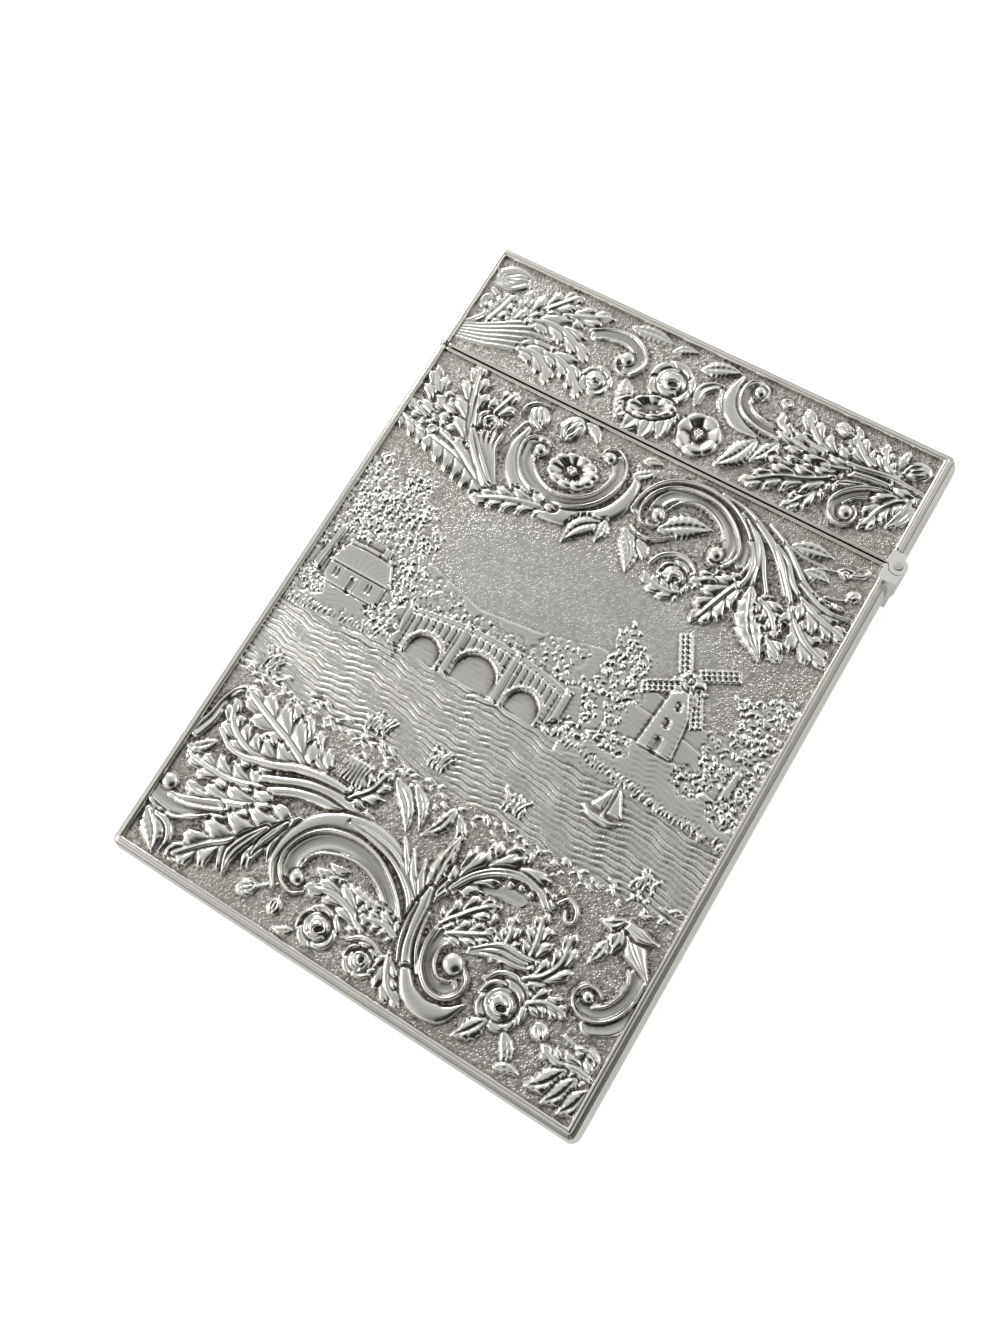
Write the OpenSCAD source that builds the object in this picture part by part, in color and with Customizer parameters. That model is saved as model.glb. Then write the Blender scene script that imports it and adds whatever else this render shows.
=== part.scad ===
// Flat visiting-card case in sheet silver: a stamped body and a lid that swings sideways on a
// three-knuckle hinge let into the moulding of one long side.
// X runs across the case towards the hinge, Y along it towards the lid, Z out of the front.
// The case lies on its back on the plane Z = 0, under its own middle.

/* [Case] */
// Width across the edge mouldings
case_w = 71; // [66:1:80]
// Length from the foot of the body to the head of the lid
case_l = 100; // [92:1:112]
// Thickness from the back bead to the front bead
case_t = 9; // [8.5:0.5:12]
// Length of the lid, from the seam to its head
lid_l = 18; // [16:1:24]
// Open line between the lid and the body
seam_gap = 0.25; // [0.15:0.05:0.4]
// Radius of the four outer corners
corner_r = 1.3; // [0.8:0.1:1.8]

/* [Edge moulding] */
// Width of the moulding, from the panel to its outermost curve
mould_w = 2; // [1.7:0.1:2.4]
// Radius of the bead that frames each panel
bead_r = 0.4; // [0.3:0.05:0.45]
// Distance from the panel to the outer side of the groove
groove_w = 1.2; // [1:0.05:1.4]
// Depth of the groove under the crest of the bead
groove_d = 0.8; // [0.6:0.05:1]
// Thickness of the metal behind the outer curve
wall_t = 0.5; // [0.4:0.05:0.6]
// Height of the solid rim that each panel is soldered to
rim_h = 1.4; // [1.3:0.1:1.8]

/* [Panels] */
// Thickness of the stamped sheet
sheet_t = 0.45; // [0.3:0.05:0.6]
// Depth of the matt ground under the crest of the bead
ground_d = 0.7; // [0.5:0.05:0.8]
// Width of the plain wire along each side of the seam
strip_w = 0.45; // [0.3:0.05:0.7]
// Depth of that wire's crown under the crest of the bead
strip_d = 0.2; // [0:0.05:0.3]

/* [Liner] */
// Thickness of the liner strips
liner_t = 0.5; // [0.4:0.05:0.7]
// Depth of the liner inside the body, under the seam
liner_in = 5; // [3:0.5:8]
// Height that the liner stands out of the body into the lid
liner_up = 2.5; // [1.5:0.5:4]
// Running clearance between the liner and the sheet of the lid
liner_gap = 0.12; // [0.08:0.02:0.2]
// Clearance between the liner and the side walls
liner_side_gap = 0.3; // [0.2:0.05:0.5]

/* [Hinge] */
// Radius of the three knuckles
knuckle_r = 1.2; // [1:0.1:1.3]
// Length of each of the lid's two knuckles
lid_knuckle_l = 2; // [1.5:0.1:2.5]
// Radius of the hinge pin
pin_r = 0.6; // [0.4:0.05:0.7]
// Clearance of the pin in the body's knuckle
pin_run = 0.05; // [0.02:0.01:0.08]
// Clearance of the pin in the lid's knuckles, where its ends are spread
pin_fit = 0.01; // [0.01:0.01:0.03]
// Height of the pin's riveted end over the front knuckle
pin_up = 0.1; // [0.05:0.05:0.2]
// Distance of the pin from the outermost curve of the side wall
pin_in = 0.4; // [0.3:0.05:0.5]
// Height of the pin over the seam
pin_rise = 0.2; // [0.1:0.05:0.4]
// Air round and between the knuckles
knuckle_gap = 0.12; // [0.1:0.02:0.2]
// Reach of the lid's hinge block above the pin
lid_block_h = 1.8; // [1.7:0.1:2.5]
// Reach of the body's hinge block below the pin
body_block_h = 2.5; // [2:0.1:4]
// Distance that the body's hinge block stands out past the side wall
body_block_out = 0.5; // [0.2:0.1:0.7]
// Length of the notch in the moulding under the body's hinge block
notch_l = 0.9; // [0.5:0.1:1.5]
// Depth of that notch, from the outermost curve
notch_d = 0.9; // [0.5:0.1:1]

/* [Ornament] */
// Height of the scrolls on the front, over the matt ground
scroll_h = 0.9; // [0.5:0.1:1.2]
// Radius of the boss at the eye of each front scroll
boss_r = 1; // [0.7:0.1:1.4]
// Height of that boss over the matt ground
boss_h = 1.1; // [0.6:0.1:1.4]
// Height of the leaves on the front, over the matt ground
leaf_h = 0.7; // [0.4:0.05:0.9]
// Height of the buildings and trees of the picture, over the matt ground
picture_h = 0.45; // [0.3:0.05:0.6]
// Width of the plain cartouche on the back
cartouche_w = 26; // [18:1:32]
// Height of that cartouche
cartouche_h = 34; // [24:1:40]
// Width of the scrolls round the cartouche
back_scroll_w = 1.6; // [1:0.1:2]

/* [Hidden] */
$fn = 64;

// Edges of the panels, where the bead begins
side_x = case_w / 2 - mould_w;
end_y = case_l / 2 - mould_w;
// Middle of the seam, and the two lips beside it
seam_y = case_l / 2 - lid_l;
body_lip_y = seam_y - seam_gap / 2;
lid_lip_y = seam_y + seam_gap / 2;
// Outer and inner faces of the front sheet
front_z = case_t - ground_d;
front_inner_z = front_z - sheet_t;
mid_z = case_t / 2;

// Bulge of the moulding: an arc from groove to groove
bulge_half = mid_z - groove_d;
bulge_rise = mould_w - groove_w;
bulge_r = (bulge_half * bulge_half + bulge_rise * bulge_rise) / (2 * bulge_rise);

// Hinge axis, and the lips of the notches round it
pin_x = case_w / 2 - pin_in;
pin_y = seam_y + pin_rise;
relief_r = knuckle_r + knuckle_gap;
lid_wall_y = pin_y + lid_block_h;
body_wall_y = pin_y - body_block_h;
mid_knuckle_z = lid_knuckle_l + knuckle_gap;
mid_knuckle_l = case_t - 2 * mid_knuckle_z;

// A length that is longer than any cut it makes
past = 2 * case_l;
// Depth that applied ornament is rooted in the sheet
root_d = sheet_t / 2;

silver = [0.80, 0.79, 0.76];
bright_silver = [0.88, 0.87, 0.85];
grey_silver = [0.62, 0.61, 0.59];

// Front scrolls: centre from the panel's middle and from its own end, radius, first and last
// angle, width. The lid's are placed from its head, the body's upper ones from the seam, and
// the lower ones from the foot.
LID_SCROLLS = [
    [-11.2, -6.2, 2.9, 290, 140, 1.8],
    [10.2, -2.6, 4.7, 150, 275, 2.4],
    [27.3, -11.3, 3.2, 80, 250, 1.6]
];
UPPER_SCROLLS = [
    [-8.9, -6.1, 6.6, 175, 20, 3.4],
    [9.6, -9, 7, 355, 190, 3],
    [9.8, -8.4, 4.2, 25, 150, 1],
    [12.5, -15.9, 13.9, 28, 80, 2.6]
];
LOWER_SCROLLS = [
    [-5.4, 7.6, 7.6, 15, 190, 3.8],
    [11.8, 8.2, 4.3, 150, 345, 3.2],
    [13.6, 15.7, 6.4, 40, 175, 1.8],
    [27.4, 17.5, 5.6, 275, 15, 2.4]
];
// Bosses at the eyes of the scrolls, placed in the same way
LID_EYES = [[-10.1, -6.1], [8.2, -2.3], [25.8, -12.2]];
UPPER_EYES = [[-13.7, -6.9], [-4.7, -3.5], [4.9, -7.5], [14.1, -8.7]];
LOWER_EYES = [[-10.7, 7.4], [12, 8.7], [28.1, 13.9], [-32.4, 9.1]];
// Round flowers and buds: place as above, and radius
LID_FLOWERS = [
    [-3, -6.3, 3.2], [3.9, -11.4, 3.1], [-12.3, -10.9, 2.3], [-3.7, -12.2, 2.4],
    [-30.6, -2.3, 2.2], [31.5, -2.7, 1.7], [20.6, -1.7, 1.2]
];
UPPER_FLOWERS = [
    [-8.3, -7.6, 2.7], [11, -14, 2.2], [-16.6, -2.5, 1.5], [-11.6, -1.9, 1.6], [30, -3, 1.1],
    [26.6, -13.2, 1.2]
];
LOWER_FLOWERS = [
    [-5.1, 3.3, 2.6], [19.7, 7.4, 2.8], [1.7, 2.9, 2], [-15.7, 3, 1.4], [-11.2, 2.9, 1.2],
    [25.2, 7.4, 1.3], [31.6, 7.8, 1.6], [-11.3, 22.6, 1.6]
];
// Leaves: base and tip, placed as above, and width
LID_LEAVES = [
    [-33.4, -13.6, -19, -8.8, 3.8], [-29.6, -10.2, -29.2, -4.4, 2.2], [-27.6, -9.4, -26.2, -4.4, 2],
    [-25.6, -7, -23.2, -1.9, 1.8], [-23, -6, -20.8, -0.8, 2], [-20.8, -5.6, -18, -1.2, 1.9],
    [-18.2, -5.2, -15, -1.4, 1.8], [-27, -7.6, -15.6, -4.9, 1.5], [-22.4, -6.4, -17.6, -8.8, 1.9],
    [-18.8, -6, -14, -8, 1.9], [-25, -12.2, -18.2, -14.4, 2.6], [-20.6, -10.9, -13.4, -13.9, 2.4],
    [-33.2, -4.8, -33, -11.8, 2.2], [-11.6, -1.4, -5.2, -1.3, 2], [-8.7, -8.8, -7.3, -14.6, 2.2],
    [0, -2.6, 4.8, -0.7, 2.2], [1.3, -7.8, 3.4, -3.6, 1.9], [10.9, -8.8, 7.7, -14.5, 2.8],
    [13.7, -7.7, 11.5, -11.7, 2.2], [33.4, -5.9, 13.6, -5.9, 2.2], [29, -7.2, 14.6, -11.3, 2],
    [15.8, -5.3, 12.5, -3.2, 1.4], [17.2, -5.1, 14.8, -1.8, 1.5], [19, -5.1, 16.9, -2.2, 1.5],
    [24.4, -5.1, 22.2, -1.7, 1.6], [26, -5, 24.4, -1.3, 1.5], [28, -5, 26.3, -1.9, 1.5],
    [14.6, -6.6, 18.7, -9.8, 2.2], [19, -10.8, 12.4, -14, 1.9], [19.8, -10.6, 16.5, -14.4, 1.7],
    [20.8, -9.8, 18.8, -15, 1.8], [22, -9, 21.2, -13.4, 1.6], [29.8, -8, 28.4, -13.1, 2.2],
    [32.4, -7, 31, -11, 1.8]
];
UPPER_LEAVES = [
    [-15.6, -16.2, -25.6, -3.4, 2.8], [-22.6, -9, -20.6, -1.9, 2.6], [-24, -7.2, -27.2, -0.4, 2.6],
    [-23.4, -8.6, -33.3, -3.4, 3.2], [-25, -9.6, -33.4, -9.6, 3], [-14.6, -16.7, -33.3, -12.4, 3.4],
    [-8.8, -14, -17.8, -17.2, 2.6], [-1.3, -12.2, -4.7, -16.9, 2.6], [2.1, -11.4, 5.1, -16.5, 2.4],
    [6.1, -9.1, 12.4, -5.9, 2.8], [17.2, -4.2, 23, -12, 2.6], [18.8, -11, 16.1, -17.4, 3.6],
    [20.4, -11.4, 26.7, -18.3, 4.8], [26.2, -10.6, 32.8, -15.2, 3.4], [26.4, -8.8, 33.4, -12.4, 3],
    [22.4, -2.9, 27.8, -2, 2], [24.4, -5.4, 33.2, -8, 2]
];
LOWER_LEAVES = [
    [-33.2, 16.4, -30, 24.9, 2], [-17.6, 19.4, -29, 24.2, 4.6], [-14.6, 20.7, -23.6, 24, 2.6],
    [0.4, 14.6, -16, 19.4, 3.2], [-12, 18.4, -30.8, 15.6, 4.4], [-21.6, 14.4, -31.8, 12.4, 4.4],
    [-18.6, 13.8, -29.8, 10.8, 3], [-14, 14.4, -27, 2.2, 4.8], [-17.3, 11, -19.4, 2.6, 2.1],
    [-33.4, 6.4, -20.4, 9.8, 3.4], [-33, 4.8, -28.6, 0.3, 3.4], [-6.4, 24.6, -1.6, 19.3, 2],
    [2.4, 25, 0, 19.9, 1.9], [4.9, 22.6, 4.9, 12, 2.6], [5.2, 13, 9, 22.4, 2],
    [5, 16, 8, 3.8, 3.4], [-4.8, 9.8, 2.6, 10, 2.2], [-0.6, 7, -8.9, 7.6, 2.2],
    [7.2, 16, 12.9, 24.4, 3.4], [12.6, 10.7, 23.2, 14.4, 2.8], [19.6, 13, 19.2, 18.9, 2.9],
    [8.2, 12, 12.5, 16.9, 2], [27.4, 24, 33.4, 19, 2.4], [27.4, 23.8, 27, 18.2, 2.4],
    [18.9, 5, 16.1, 1.3, 2.2], [21.7, 5, 23.9, 0.9, 1.6], [30.2, 5, 27.2, 1.5, 2],
    [33.3, 4.4, 30.4, 0.6, 3], [33.4, 5.6, 27, 6.1, 2], [5.2, 4.8, 9.2, 1.1, 2]
];
// Trees of the picture, as flowers and leaves: measured from the middle of the case
ROUND_TREES = [
    [-31, 5.6, 3.6], [-28.2, 8.2, 2.7], [-32.2, 0.4, 2.3], [30.4, 2.4, 3.8], [28.4, 6.4, 2],
    [31.6, 8, 2.3], [-20.4, -6.2, 2.1], [10.6, -7, 2]
];
TALL_TREES = [
    [-19.6, -6.6, -19.6, 8, 2.8], [10.2, -6.6, 10.2, 9, 3], [12.9, -6.2, 12.9, 6.6, 2.6]
];
// Arches of the bridge: middle, half width and height over its foot
ARCHES = [[-12.6, 2.3, 1], [-5, 3.1, 1.4], [2.6, 2.3, 1]];

// Section of the moulding, from the panel outward, with a channel behind its bulge
module moulding_section() {
    difference() {
        union() {
            translate([0, groove_d])
                square([groove_w, case_t - 2 * groove_d]);
            for (z = [bead_r, case_t - bead_r])
                translate([bead_r, z])
                    circle(bead_r);
            for (z = [bead_r, case_t - groove_d - bead_r / 2])
                translate([0, z])
                    square([2 * bead_r, groove_d - bead_r / 2]);
            intersection() {
                translate([mould_w - bulge_r, mid_z])
                    circle(bulge_r, $fn = 256);
                translate([0, groove_d])
                    square([mould_w + 1, case_t - 2 * groove_d]);
            }
        }
        intersection() {
            translate([mould_w - bulge_r, mid_z])
                circle(bulge_r - wall_t, $fn = 256);
            translate([-1, rim_h])
                square([mould_w + 1, case_t - 2 * rim_h]);
        }
    }
}

module moulding_length(from, to) {
    translate([from, 0, 0])
        rotate([90, 0, 90])
            linear_extrude(to - from)
                moulding_section();
}

// Keeps a wall's end at 45 degrees, from the corner of the panel outward
module mitre(reach, start, end) {
    linear_extrude(past, center = true)
        polygon([[start, 0], [end, 0], [end + reach, reach], [start - reach, reach]]);
}

// Column of the case's outline, with its round corners
module outline_column() {
    straight_x = case_w - 2 * corner_r;
    straight_y = case_l - 2 * corner_r;
    linear_extrude(past, center = true) {
        square([case_w, straight_y], center = true);
        square([straight_x, case_l], center = true);
        for (x = [-straight_x / 2, straight_x / 2])
            for (y = [-straight_y / 2, straight_y / 2])
                translate([x, y])
                    circle(corner_r);
    }
}

// A wall across the case, mitred at both ends, outward along Y
module end_wall() {
    intersection() {
        translate([0, end_y, 0])
            intersection() {
                moulding_length(-side_x - mould_w, side_x + mould_w);
                mitre(mould_w + 1, -side_x, side_x);
            }
        outline_column();
    }
}

// A wall along the case on the hinge side, from a straight cut to a mitred head
module side_wall(cut_y, head_y) {
    intersection() {
        translate([side_x, 0, 0])
            rotate([0, 0, -90])
                intersection() {
                    moulding_length(-head_y - mould_w, -cut_y);
                    mitre(mould_w + 1, -head_y, past);
                }
        outline_column();
    }
}

// Round rib that a scroll is stamped as, flattened where it is taller than the relief
module scroll(place, width, height) {
    turn = place[4] > place[3] ? place[4] - place[3] : place[4] - place[3] + 360;
    translate([place[0], place[1], 0])
        rotate([0, 0, place[3]])
            rotate_extrude(angle = turn)
                translate([place[2], 0])
                    intersection() {
                        circle(width / 2);
                        translate([-width, -root_d])
                            square([2 * width, root_d + height]);
                    }
}

// A shallow dome, of this radius at the level of the ground
module dome(x, y, r, height) {
    ball_r = (r * r + height * height) / (2 * height);
    translate([x, y, 0])
        rotate_extrude()
            intersection() {
                translate([0, height - ball_r])
                    circle(ball_r);
                translate([0, -root_d])
                    square([ball_r, root_d + height]);
            }
}

// Outline of a pointed leaf from its base to its tip, or of its middle part with a smaller share
module leaf_outline(place, share) {
    dx = place[2] - place[0];
    dy = place[3] - place[1];
    length = share * sqrt(dx * dx + dy * dy);
    width = share * place[4];
    edge_r = (length * length + width * width) / (4 * width);
    translate([place[0] + dx / 2, place[1] + dy / 2])
        rotate(atan2(dy, dx))
            intersection() {
                translate([0, edge_r - width / 2])
                    circle(edge_r);
                translate([0, width / 2 - edge_r])
                    circle(edge_r);
            }
}

// The leaves rise in two steps: their whole outlines, then their middles
module leaf_steps(leaves) {
    for (step = [[1, 0.5], [0.6, 1]])
        translate([0, 0, -root_d])
            linear_extrude(root_d + step[1] * leaf_h)
                for (l = leaves)
                    leaf_outline(l, step[0]);
}

module ornament(scrolls, eyes, flowers, leaves, from_y) {
    translate([0, from_y, front_z]) {
        for (s = scrolls)
            scroll(s, s[5], scroll_h);
        for (e = eyes)
            dome(e[0], e[1], boss_r, boss_h);
        for (f = flowers)
            dome(f[0], f[1], f[2], scroll_h);
        leaf_steps(leaves);
    }
}

// Bridge over the river, cottage and windmill, cut out flat
module buildings() {
    foot_y = -8.6;
    difference() {
        polygon([[-17, foot_y], [7, foot_y], [7, -2.7], [-5, -1.2], [-17, -2.7]]);
        for (a = ARCHES) {
            translate([a[0], foot_y + a[2]])
                circle(a[1]);
            translate([a[0] - a[1], foot_y - 1])
                square([2 * a[1], 1 + a[2]]);
        }
    }
    polygon([[-30.5, -5.6], [-21.5, -5.6], [-21.5, -2.5], [-20.9, -2.5], [-22.7, 0.9], [-29.3, 0.9],
             [-31.1, -2.5], [-30.5, -2.5]]);
    polygon([[17.5, -4.2], [22.5, -4.2], [21.7, 6.4], [18.3, 6.4]]);
    translate([19.7, 6.2])
        for (turn = [28, 118, 208, 298])
            rotate(turn)
                square([6.2, 1.45]);
}

module picture() {
    translate([0, 0, front_z]) {
        translate([0, 0, -root_d])
            linear_extrude(root_d + picture_h)
                buildings();
        for (f = ROUND_TREES)
            dome(f[0], f[1], f[2], picture_h + 0.05);
        leaf_steps(TALL_TREES);
    }
}

// Everything above the back of a panel and inside its edges
module panel_space(low_y, high_y, bottom_z) {
    translate([-side_x, low_y, bottom_z])
        cube([2 * side_x, high_y - low_y, case_t]);
}

module sheet(low_y, high_y, bottom_z) {
    translate([-side_x, low_y, bottom_z])
        cube([2 * side_x, high_y - low_y, sheet_t]);
}

module body_front_panel() {
    high_y = body_lip_y - strip_w;
    color(silver) {
        sheet(-end_y, high_y, front_inner_z);
        intersection() {
            union() {
                ornament(UPPER_SCROLLS, UPPER_EYES, UPPER_FLOWERS, UPPER_LEAVES, high_y);
                ornament(LOWER_SCROLLS, LOWER_EYES, LOWER_FLOWERS, LOWER_LEAVES, -end_y);
                picture();
            }
            panel_space(-end_y, high_y, front_inner_z);
        }
    }
}

module lid_front_panel() {
    low_y = lid_lip_y + strip_w;
    color(silver) {
        sheet(low_y, end_y, front_inner_z);
        intersection() {
            ornament(LID_SCROLLS, LID_EYES, LID_FLOWERS, LID_LEAVES, end_y);
            panel_space(low_y, end_y, front_inner_z);
        }
    }
}

// Oblong with round ends, a little smaller all round by the inset
module cartouche_outline(inset) {
    straight = cartouche_h - cartouche_w;
    square([cartouche_w - 2 * inset, straight], center = true);
    for (y = [-straight / 2, straight / 2])
        translate([0, y])
            circle(cartouche_w / 2 - inset);
}

// The cartouche is pressed out of the sheet to the plane that the case lies on
module cartouche() {
    linear_extrude(ground_d + root_d)
        cartouche_outline(0);
}

module cartouche_hollow() {
    translate([0, 0, sheet_t])
        linear_extrude(ground_d + 1)
            cartouche_outline(sheet_t);
}

// Four C scrolls hold the cartouche, opening away from it
module cartouche_scrolls() {
    scroll_r = cartouche_w / 4;
    off_x = cartouche_w / 2 + scroll_r / 2;
    off_y = cartouche_h / 2;
    for (sx = [-1, 1])
        for (sy = [-1, 1])
            scale([sx, sy, 1])
                translate([off_x, off_y, ground_d])
                    rotate([180, 0, 0])
                        scroll([0, 0, scroll_r, 210, 60], back_scroll_w, ground_d);
}

module body_back_panel() {
    high_y = body_lip_y - strip_w;
    color(silver)
        difference() {
            union() {
                sheet(-end_y, high_y, ground_d);
                cartouche();
                intersection() {
                    cartouche_scrolls();
                    panel_space(-end_y, high_y, 0);
                }
            }
            cartouche_hollow();
        }
}

module lid_back_panel() {
    color(silver)
        sheet(lid_lip_y + strip_w, end_y, ground_d);
}

module body_right_wall() {
    color(bright_silver)
        difference() {
            mirror([0, 1, 0])
                side_wall(-body_wall_y, end_y);
            translate([case_w / 2 - notch_d, body_wall_y - notch_l, -1])
                cube([notch_d + 1, notch_l + 1, case_t + 2]);
        }
}

module body_left_wall() {
    color(bright_silver)
        mirror([1, 0, 0])
            mirror([0, 1, 0])
                side_wall(-body_lip_y, end_y);
}

module body_bottom_wall() {
    color(bright_silver)
        mirror([0, 1, 0])
            end_wall();
}

module lid_right_wall() {
    color(bright_silver)
        side_wall(lid_wall_y, end_y);
}

module lid_left_wall() {
    color(bright_silver)
        mirror([1, 0, 0])
            side_wall(lid_lip_y, end_y);
}

module lid_top_wall() {
    color(bright_silver)
        end_wall();
}

// Wire with a round crown, along the lip of a front sheet
module mouth_wire(low_y) {
    crown_z = case_t - strip_d;
    color(bright_silver)
        translate([-side_x, low_y, 0])
            rotate([90, 0, 90])
                linear_extrude(2 * side_x) {
                    translate([0, front_inner_z])
                        square([strip_w, crown_z - strip_w / 2 - front_inner_z]);
                    translate([strip_w / 2, crown_z - strip_w / 2])
                        circle(strip_w / 2);
                }
}

module to_back() {
    translate([0, 0, case_t])
        mirror([0, 0, 1])
            children();
}

module body_front_mouth_wire() {
    mouth_wire(body_lip_y - strip_w);
}

module body_back_mouth_wire() {
    to_back()
        mouth_wire(body_lip_y - strip_w);
}

module lid_front_mouth_wire() {
    mouth_wire(lid_lip_y);
}

module lid_back_mouth_wire() {
    to_back()
        mouth_wire(lid_lip_y);
}

// Flat strip soldered under the front sheet of the body, with a tongue that enters the lid
module liner_front_strip() {
    strip_x = side_x - liner_side_gap;
    bottom_z = front_inner_z - liner_t;
    color(grey_silver) {
        translate([-strip_x, seam_y - liner_in, bottom_z])
            cube([2 * strip_x, liner_in - seam_gap / 2, liner_t]);
        translate([-strip_x, seam_y - liner_in, bottom_z])
            cube([2 * strip_x, liner_in + liner_up, liner_t - liner_gap]);
    }
}

module liner_back_strip() {
    to_back()
        liner_front_strip();
}

module liner_right_strip() {
    bottom_z = case_t - front_inner_z + liner_t;
    color(grey_silver)
        translate([side_x - liner_side_gap - liner_t, seam_y - liner_in, bottom_z])
            cube([liner_t, liner_in + liner_up, case_t - 2 * bottom_z]);
}

module liner_left_strip() {
    mirror([1, 0, 0])
        liner_right_strip();
}

module hinge_column(r, z, h) {
    translate([pin_x, pin_y, z])
        cylinder(r = r, h = h);
}

// Solid block let into the body's side wall, cradling the lid's knuckles and carrying the
// middle knuckle
module hinge_body_bracket() {
    block_w = mould_w + body_block_out;
    color(bright_silver)
        difference() {
            union() {
                difference() {
                    translate([side_x, body_wall_y, 0])
                        cube([block_w, body_lip_y - body_wall_y, case_t]);
                    hinge_column(relief_r, -1, mid_knuckle_z + 1);
                    hinge_column(relief_r, case_t - mid_knuckle_z, mid_knuckle_z + 1);
                }
                hinge_column(knuckle_r, mid_knuckle_z, mid_knuckle_l);
            }
            hinge_column(pin_r + pin_run, -1, case_t + 2);
        }
}

// Solid block let into the lid's side wall, with a knuckle at the front and one at the back
module hinge_lid_bracket() {
    color(bright_silver)
        difference() {
            union() {
                translate([side_x, lid_lip_y, 0])
                    cube([mould_w, lid_wall_y - lid_lip_y, case_t]);
                hinge_column(knuckle_r, 0, lid_knuckle_l);
                hinge_column(knuckle_r, case_t - lid_knuckle_l, lid_knuckle_l);
            }
            translate([side_x - 1, lid_lip_y - 2 * relief_r, lid_knuckle_l])
                cube([mould_w + 3, pin_y + relief_r - lid_lip_y + 2 * relief_r, case_t - 2 * lid_knuckle_l]);
            hinge_column(pin_r + pin_fit, -1, case_t + 2);
        }
}

module hinge_pin() {
    color(grey_silver)
        hinge_column(pin_r, pin_up, case_t);
}

body_front_panel();
body_back_panel();
body_left_wall();
body_right_wall();
body_bottom_wall();
body_front_mouth_wire();
body_back_mouth_wire();
liner_front_strip();
liner_back_strip();
liner_left_strip();
liner_right_strip();
hinge_body_bracket();
lid_front_panel();
lid_back_panel();
lid_left_wall();
lid_right_wall();
lid_top_wall();
lid_front_mouth_wire();
lid_back_mouth_wire();
hinge_lid_bracket();
hinge_pin();
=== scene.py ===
"""A flat visiting-card case in stamped silver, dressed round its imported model."""

import math
import random

import bpy
import numpy as np
from mathutils import Matrix, Vector


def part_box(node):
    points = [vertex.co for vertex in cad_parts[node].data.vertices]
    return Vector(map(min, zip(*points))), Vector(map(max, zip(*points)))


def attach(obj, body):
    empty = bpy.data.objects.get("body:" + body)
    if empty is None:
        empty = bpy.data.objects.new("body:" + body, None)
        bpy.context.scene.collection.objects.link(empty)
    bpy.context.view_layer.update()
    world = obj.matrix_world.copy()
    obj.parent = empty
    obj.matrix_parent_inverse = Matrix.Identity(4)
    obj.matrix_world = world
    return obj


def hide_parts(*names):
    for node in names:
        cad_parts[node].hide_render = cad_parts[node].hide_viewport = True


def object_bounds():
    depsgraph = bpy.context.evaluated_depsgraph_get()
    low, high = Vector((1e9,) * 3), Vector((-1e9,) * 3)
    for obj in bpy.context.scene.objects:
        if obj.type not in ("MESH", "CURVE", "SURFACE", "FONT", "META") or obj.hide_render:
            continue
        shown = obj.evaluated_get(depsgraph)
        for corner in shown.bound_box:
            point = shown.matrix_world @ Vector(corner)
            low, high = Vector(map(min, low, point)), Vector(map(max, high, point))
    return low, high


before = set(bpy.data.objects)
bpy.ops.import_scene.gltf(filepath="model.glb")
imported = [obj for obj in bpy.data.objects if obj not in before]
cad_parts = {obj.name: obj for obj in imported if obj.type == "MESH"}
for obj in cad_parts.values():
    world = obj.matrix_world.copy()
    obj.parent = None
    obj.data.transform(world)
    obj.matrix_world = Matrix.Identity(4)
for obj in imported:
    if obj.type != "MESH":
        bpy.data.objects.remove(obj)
cad_low, cad_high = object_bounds()
MM = 0.001

# Photographer's table.
# The case lies on white paper in a white tent. The camera looks down at it from the side of the
# hinge, and the dark room behind the camera is what gives the metal its greys.

scene = bpy.context.scene
scene.view_settings.view_transform = "Standard"

lens_mm = 33.55
camera_at = Vector((35.43, -31.17, 163.06)) * MM
to_right = Vector((0.84737, 0.51764, -0.11832))
to_top = Vector((-0.47583, 0.83915, 0.26344))
to_camera = to_right.cross(to_top)
camera_data = bpy.data.cameras.new("camera")
camera_data.lens = lens_mm
camera_data.sensor_width = 36.0
camera_data.clip_start = 0.01
camera_data.clip_end = 20.0
camera = bpy.data.objects.new("camera", camera_data)
scene.collection.objects.link(camera)
facing = Matrix((to_right, to_top, to_camera)).transposed().to_4x4()
camera.matrix_world = Matrix.Translation(camera_at) @ facing
scene.camera = camera


def place(tree, kind, **values):
    """A shader node with these settings"""
    made = tree.nodes.new(kind)
    for name, value in values.items():
        setattr(made, name, value)
    return made


def feed(tree, node, **sources):
    """Fills a node's inputs from sockets or values. Each is named as in Blender with _ for a space, or
    by its number, as i0."""
    for name, source in sources.items():
        known = {socket.identifier.replace(" ", "_"): socket for socket in node.inputs}
        known.update({socket.name.replace(" ", "_"): socket for socket in reversed(node.inputs)})
        socket = node.inputs[int(name[1:])] if name[0] == "i" and name[1:].isdigit() else known[name]
        if isinstance(source, bpy.types.NodeSocket):
            tree.links.new(source, socket)
        else:
            socket.default_value = source
    return node


def reckon(tree, operation, *sources, clamp=False):
    """The output of a Math node"""
    node = place(tree, "ShaderNodeMath", operation=operation, use_clamp=clamp)
    feed(tree, node, **{f"i{k}": source for k, source in enumerate(sources)})
    return node.outputs[0]


def tinted(tree, share, under, over):
    """The output of a Mix node for colours"""
    node = place(tree, "ShaderNodeMix", data_type="RGBA")
    feed(tree, node, Factor_Float=share, A_Color=under, B_Color=over)
    return node.outputs[2]


# Brightness of the tent as the metal mirrors it: at its walls, and overhead
wall_light = 1.0
overhead_light = 0.52
room_light = 0.03
# Direction of the dark room behind the camera, and the cosines at which it begins and is darkest
room_way = Vector((0.63, -0.45, 0.64)).normalized()
room_edge, room_heart = 0.6, 0.93

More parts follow.
